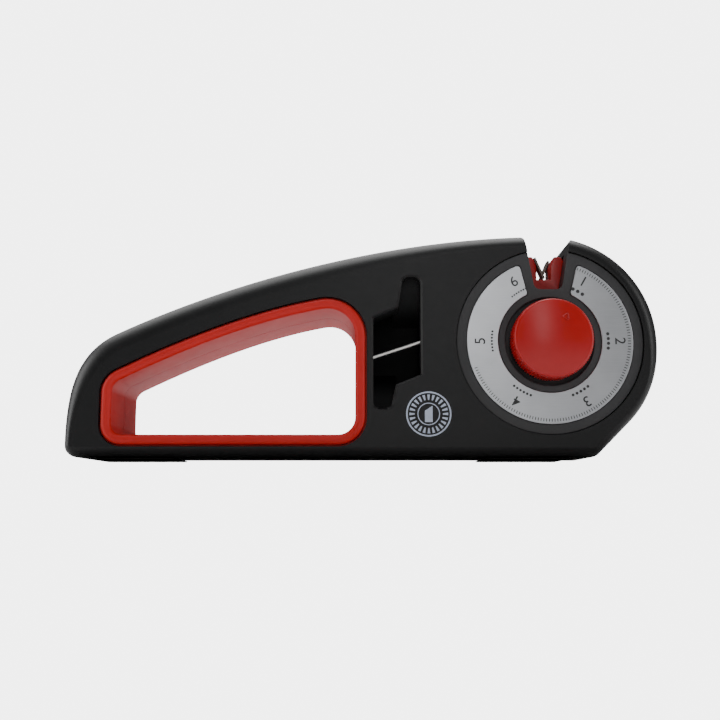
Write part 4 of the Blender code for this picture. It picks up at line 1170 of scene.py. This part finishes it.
def scissorGuide():
    w = window
    front = halfDepth - body["wall"] - 0.3 * mm
    floor = w["guideBack"] + w["guideWall"]
    outline = windowOutline()
    guide = slab("scissorGuide", offset(outline, -w["guideWall"]), w["guideBack"], front)
    pocket = slab("pocket", outline, floor, front + 2 * mm)
    high, deep = front - 3 * mm, w["guideBack"]
    middle = (windowLeft + windowRight) / 2
    lowEnd, highEnd = w["floor"] - w["guideWall"], windowTop + w["guideWall"]
    lower = [
        (deep, lowEnd),
        (high, lowEnd),
        (high, w["floor"]),
        (floor, w["middle"] - 9 * mm),
        (deep, w["middle"] - 9 * mm),
    ]
    upper = [
        (deep, highEnd),
        (high, highEnd),
        (high, highEnd - 4 * mm),
        (floor, w["middle"] + 9 * mm),
        (deep, w["middle"] + 9 * mm),
    ]
    ramps = []
    spans = ((windowLeft - w["guideWall"], middle), (middle - 1.2 * mm, windowRight + w["guideWall"]))
    for sideView, span in zip((lower, upper), spans):
        ramps.append(swept("ramp", [[(x, seamY - f, z) for f, z in sideView] for x in span], False))
    carve(pocket, *ramps)
    carve(guide, pocket)
    softEdges(guide, 0.15 * mm, 2)
    painted(guide, wellPlastic)
    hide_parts("scissor_guide")
    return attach(guide, "body")


rodSize = dict(radius=0.68 * mm, slope=math.radians(18.2), edge=0.12 * mm)


def scissorRod():
    # the ground rod that a scissor blade is drawn along
    lo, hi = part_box("scissor_rod")
    slope, radius = rodSize["slope"], rodSize["radius"]
    along = Vector((math.cos(slope), 0, math.sin(slope)))
    length = (hi.x - lo.x - 2 * radius * math.sin(slope)) / math.cos(slope)
    build = bmesh.new()
    bmesh.ops.create_cone(build, cap_ends=True, segments=40, radius1=radius, radius2=radius, depth=length)
    rod = finishMesh(build, "scissorRod")
    softEdges(rod, rodSize["edge"], 3, 40.0)
    turn = Vector((0, 0, 1)).rotation_difference(along).to_matrix().to_4x4()
    rod.data.transform(Matrix.Translation((lo + hi) / 2) @ turn)
    painted(rod, steel)
    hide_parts("scissor_rod")
    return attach(rod, "body")


screwSize = dict(
    head=2.6 * mm, shank=1.3 * mm, height=1.8 * mm, dome=0.6 * mm, socket=1.15 * mm, socketDepth=1.2 * mm
)


def caseScrews():
    # all six screws, with hexagon sockets, seen in their sunk holes at the back
    names = sorted(n for n in nodes if n.startswith("case_screw_"))
    lo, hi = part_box(names[0])
    back, front = seamY - hi.y, seamY - lo.y
    w = screwSize
    head, shank, dome = w["head"], w["shank"], w["dome"]
    under = back + w["height"]
    profile = [(0, front), (0.6 * shank, front), (shank, front - shank), (shank, under), (head, under)]
    for i in range(6):
        a = math.pi / 2 * i / 5
        profile.append((head - dome + dome * math.cos(a), back + dome - dome * math.sin(a)))
    profile.append((0, back))
    screw = turned("screw", profile, 40, (0, 0))
    carve(screw, disc("socket", w["socket"], back - 2 * mm, back + w["socketDepth"], 6, (0, 0)))
    points = [(x, 0, z) for x, z in screwCentres()]
    screws = repeated("caseScrews", onPoints, screw, steel, points)
    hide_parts(*names)
    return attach(screws, "body")


scissorGuide()
scissorRod()
caseScrews()

kept = dict(turret_shaft=steel, turret_washer=steel, front_bush=bronze, rear_bush=bronze)
for name, finish in kept.items():
    painted(nodes[name], finish)
print("inner pieces made")

studio = dict(lens=50.0, sensor=36.0, x=-1.1 * mm, z=-14.6 * mm, away=357.0 * mm, rise=math.atan(0.14))


def studioFloor():
    build = bmesh.new()
    bmesh.ops.create_grid(build, x_segments=1, y_segments=1, size=15.0)
    floor = finishMesh(build, "studioFloor")
    paint = Paint("floorPaint", (0.82, 0.82, 0.82), 0.7)
    speck = paint.noise(40 * mm, 2.0)
    paint.feed("Base Color", paint.mix(speck, (0.8, 0.8, 0.8), (0.84, 0.84, 0.84)))
    # seen from underneath the floor is clear, since the camera stands a little below it
    clear = paint.node("ShaderNodeBsdfTransparent")
    behind = paint.node("ShaderNodeNewGeometry", output="Backfacing")
    sheet = paint.node(
        "ShaderNodeMixShader", {}, {0: behind, 1: Wire(paint, paint.shader.outputs[0]), 2: clear}
    )
    paint.tree.links.new(sheet.socket, paint.tree.nodes["Material Output"].inputs["Surface"])
    painted(floor, paint.material)


def softLight(name, place, size, power, aim=(0, 0, 40 * mm)):
    light = bpy.data.lights.new(name, "AREA")
    light.shape = "RECTANGLE"
    light.size, light.size_y = size
    light.energy = power
    lamp = newPiece(name, light)
    lamp.location = place
    lamp.rotation_euler = (Vector(aim) - Vector(place)).to_track_quat("-Z", "Y").to_euler()


def skyLight(power):
    # a wide sun from above and a little behind, so that the floor is lit evenly
    light = bpy.data.lights.new("skyLight", "SUN")
    light.energy = power
    light.angle = math.radians(70)
    lamp = newPiece("skyLight", light)
    lamp.rotation_euler = (math.radians(-22), math.radians(-8), 0)


def studioWorld():
    world = bpy.data.worlds.new("studioWorld")
    bpy.context.scene.world = world
    world.use_nodes = True
    tree = world.node_tree
    sky = tree.nodes["Background"]
    sky.inputs["Color"].default_value = (1, 1, 1, 1)
    sky.inputs["Strength"].default_value = 0.12
    seen = tree.nodes.new("ShaderNodeBackground")
    seen.inputs["Color"].default_value = (1, 1, 1, 1)
    seen.inputs["Strength"].default_value = 5.0
    path, mix = tree.nodes.new("ShaderNodeLightPath"), tree.nodes.new("ShaderNodeMixShader")
    tree.links.new(path.outputs["Is Camera Ray"], mix.inputs[0])
    tree.links.new(sky.outputs[0], mix.inputs[1])
    tree.links.new(seen.outputs[0], mix.inputs[2])
    tree.links.new(mix.outputs[0], tree.nodes["World Output"].inputs["Surface"])


def studioCamera():
    s = studio
    lens = bpy.data.cameras.new("studioCamera")
    lens.lens = s["lens"]
    lens.sensor_width = s["sensor"]
    lens.clip_start = 0.01
    camera = newPiece("studioCamera", lens)
    camera.location = (s["x"], faceY - s["away"], s["z"])
    camera.rotation_euler = (math.pi / 2 + s["rise"], 0, 0)
    bpy.context.scene.camera = camera


studioFloor()
studioWorld()
studioCamera()
skyLight(2.6)
lamps = dict(
    topLight=((-0.02, 0.1, 0.8), (1.0, 0.5), 3.0),
    leftLight=((-0.8, 0.0, 0.25), (0.5, 0.6), 4.5),
    rightLight=((0.85, -0.25, 0.3), (0.3, 0.6), 2.5),
    frontLight=((0.07, -0.9, 0.5), (0.12, 0.8), 1.8),
)
for name, (place, size, power) in lamps.items():
    softLight(name, place, size, power)
print("studio made")
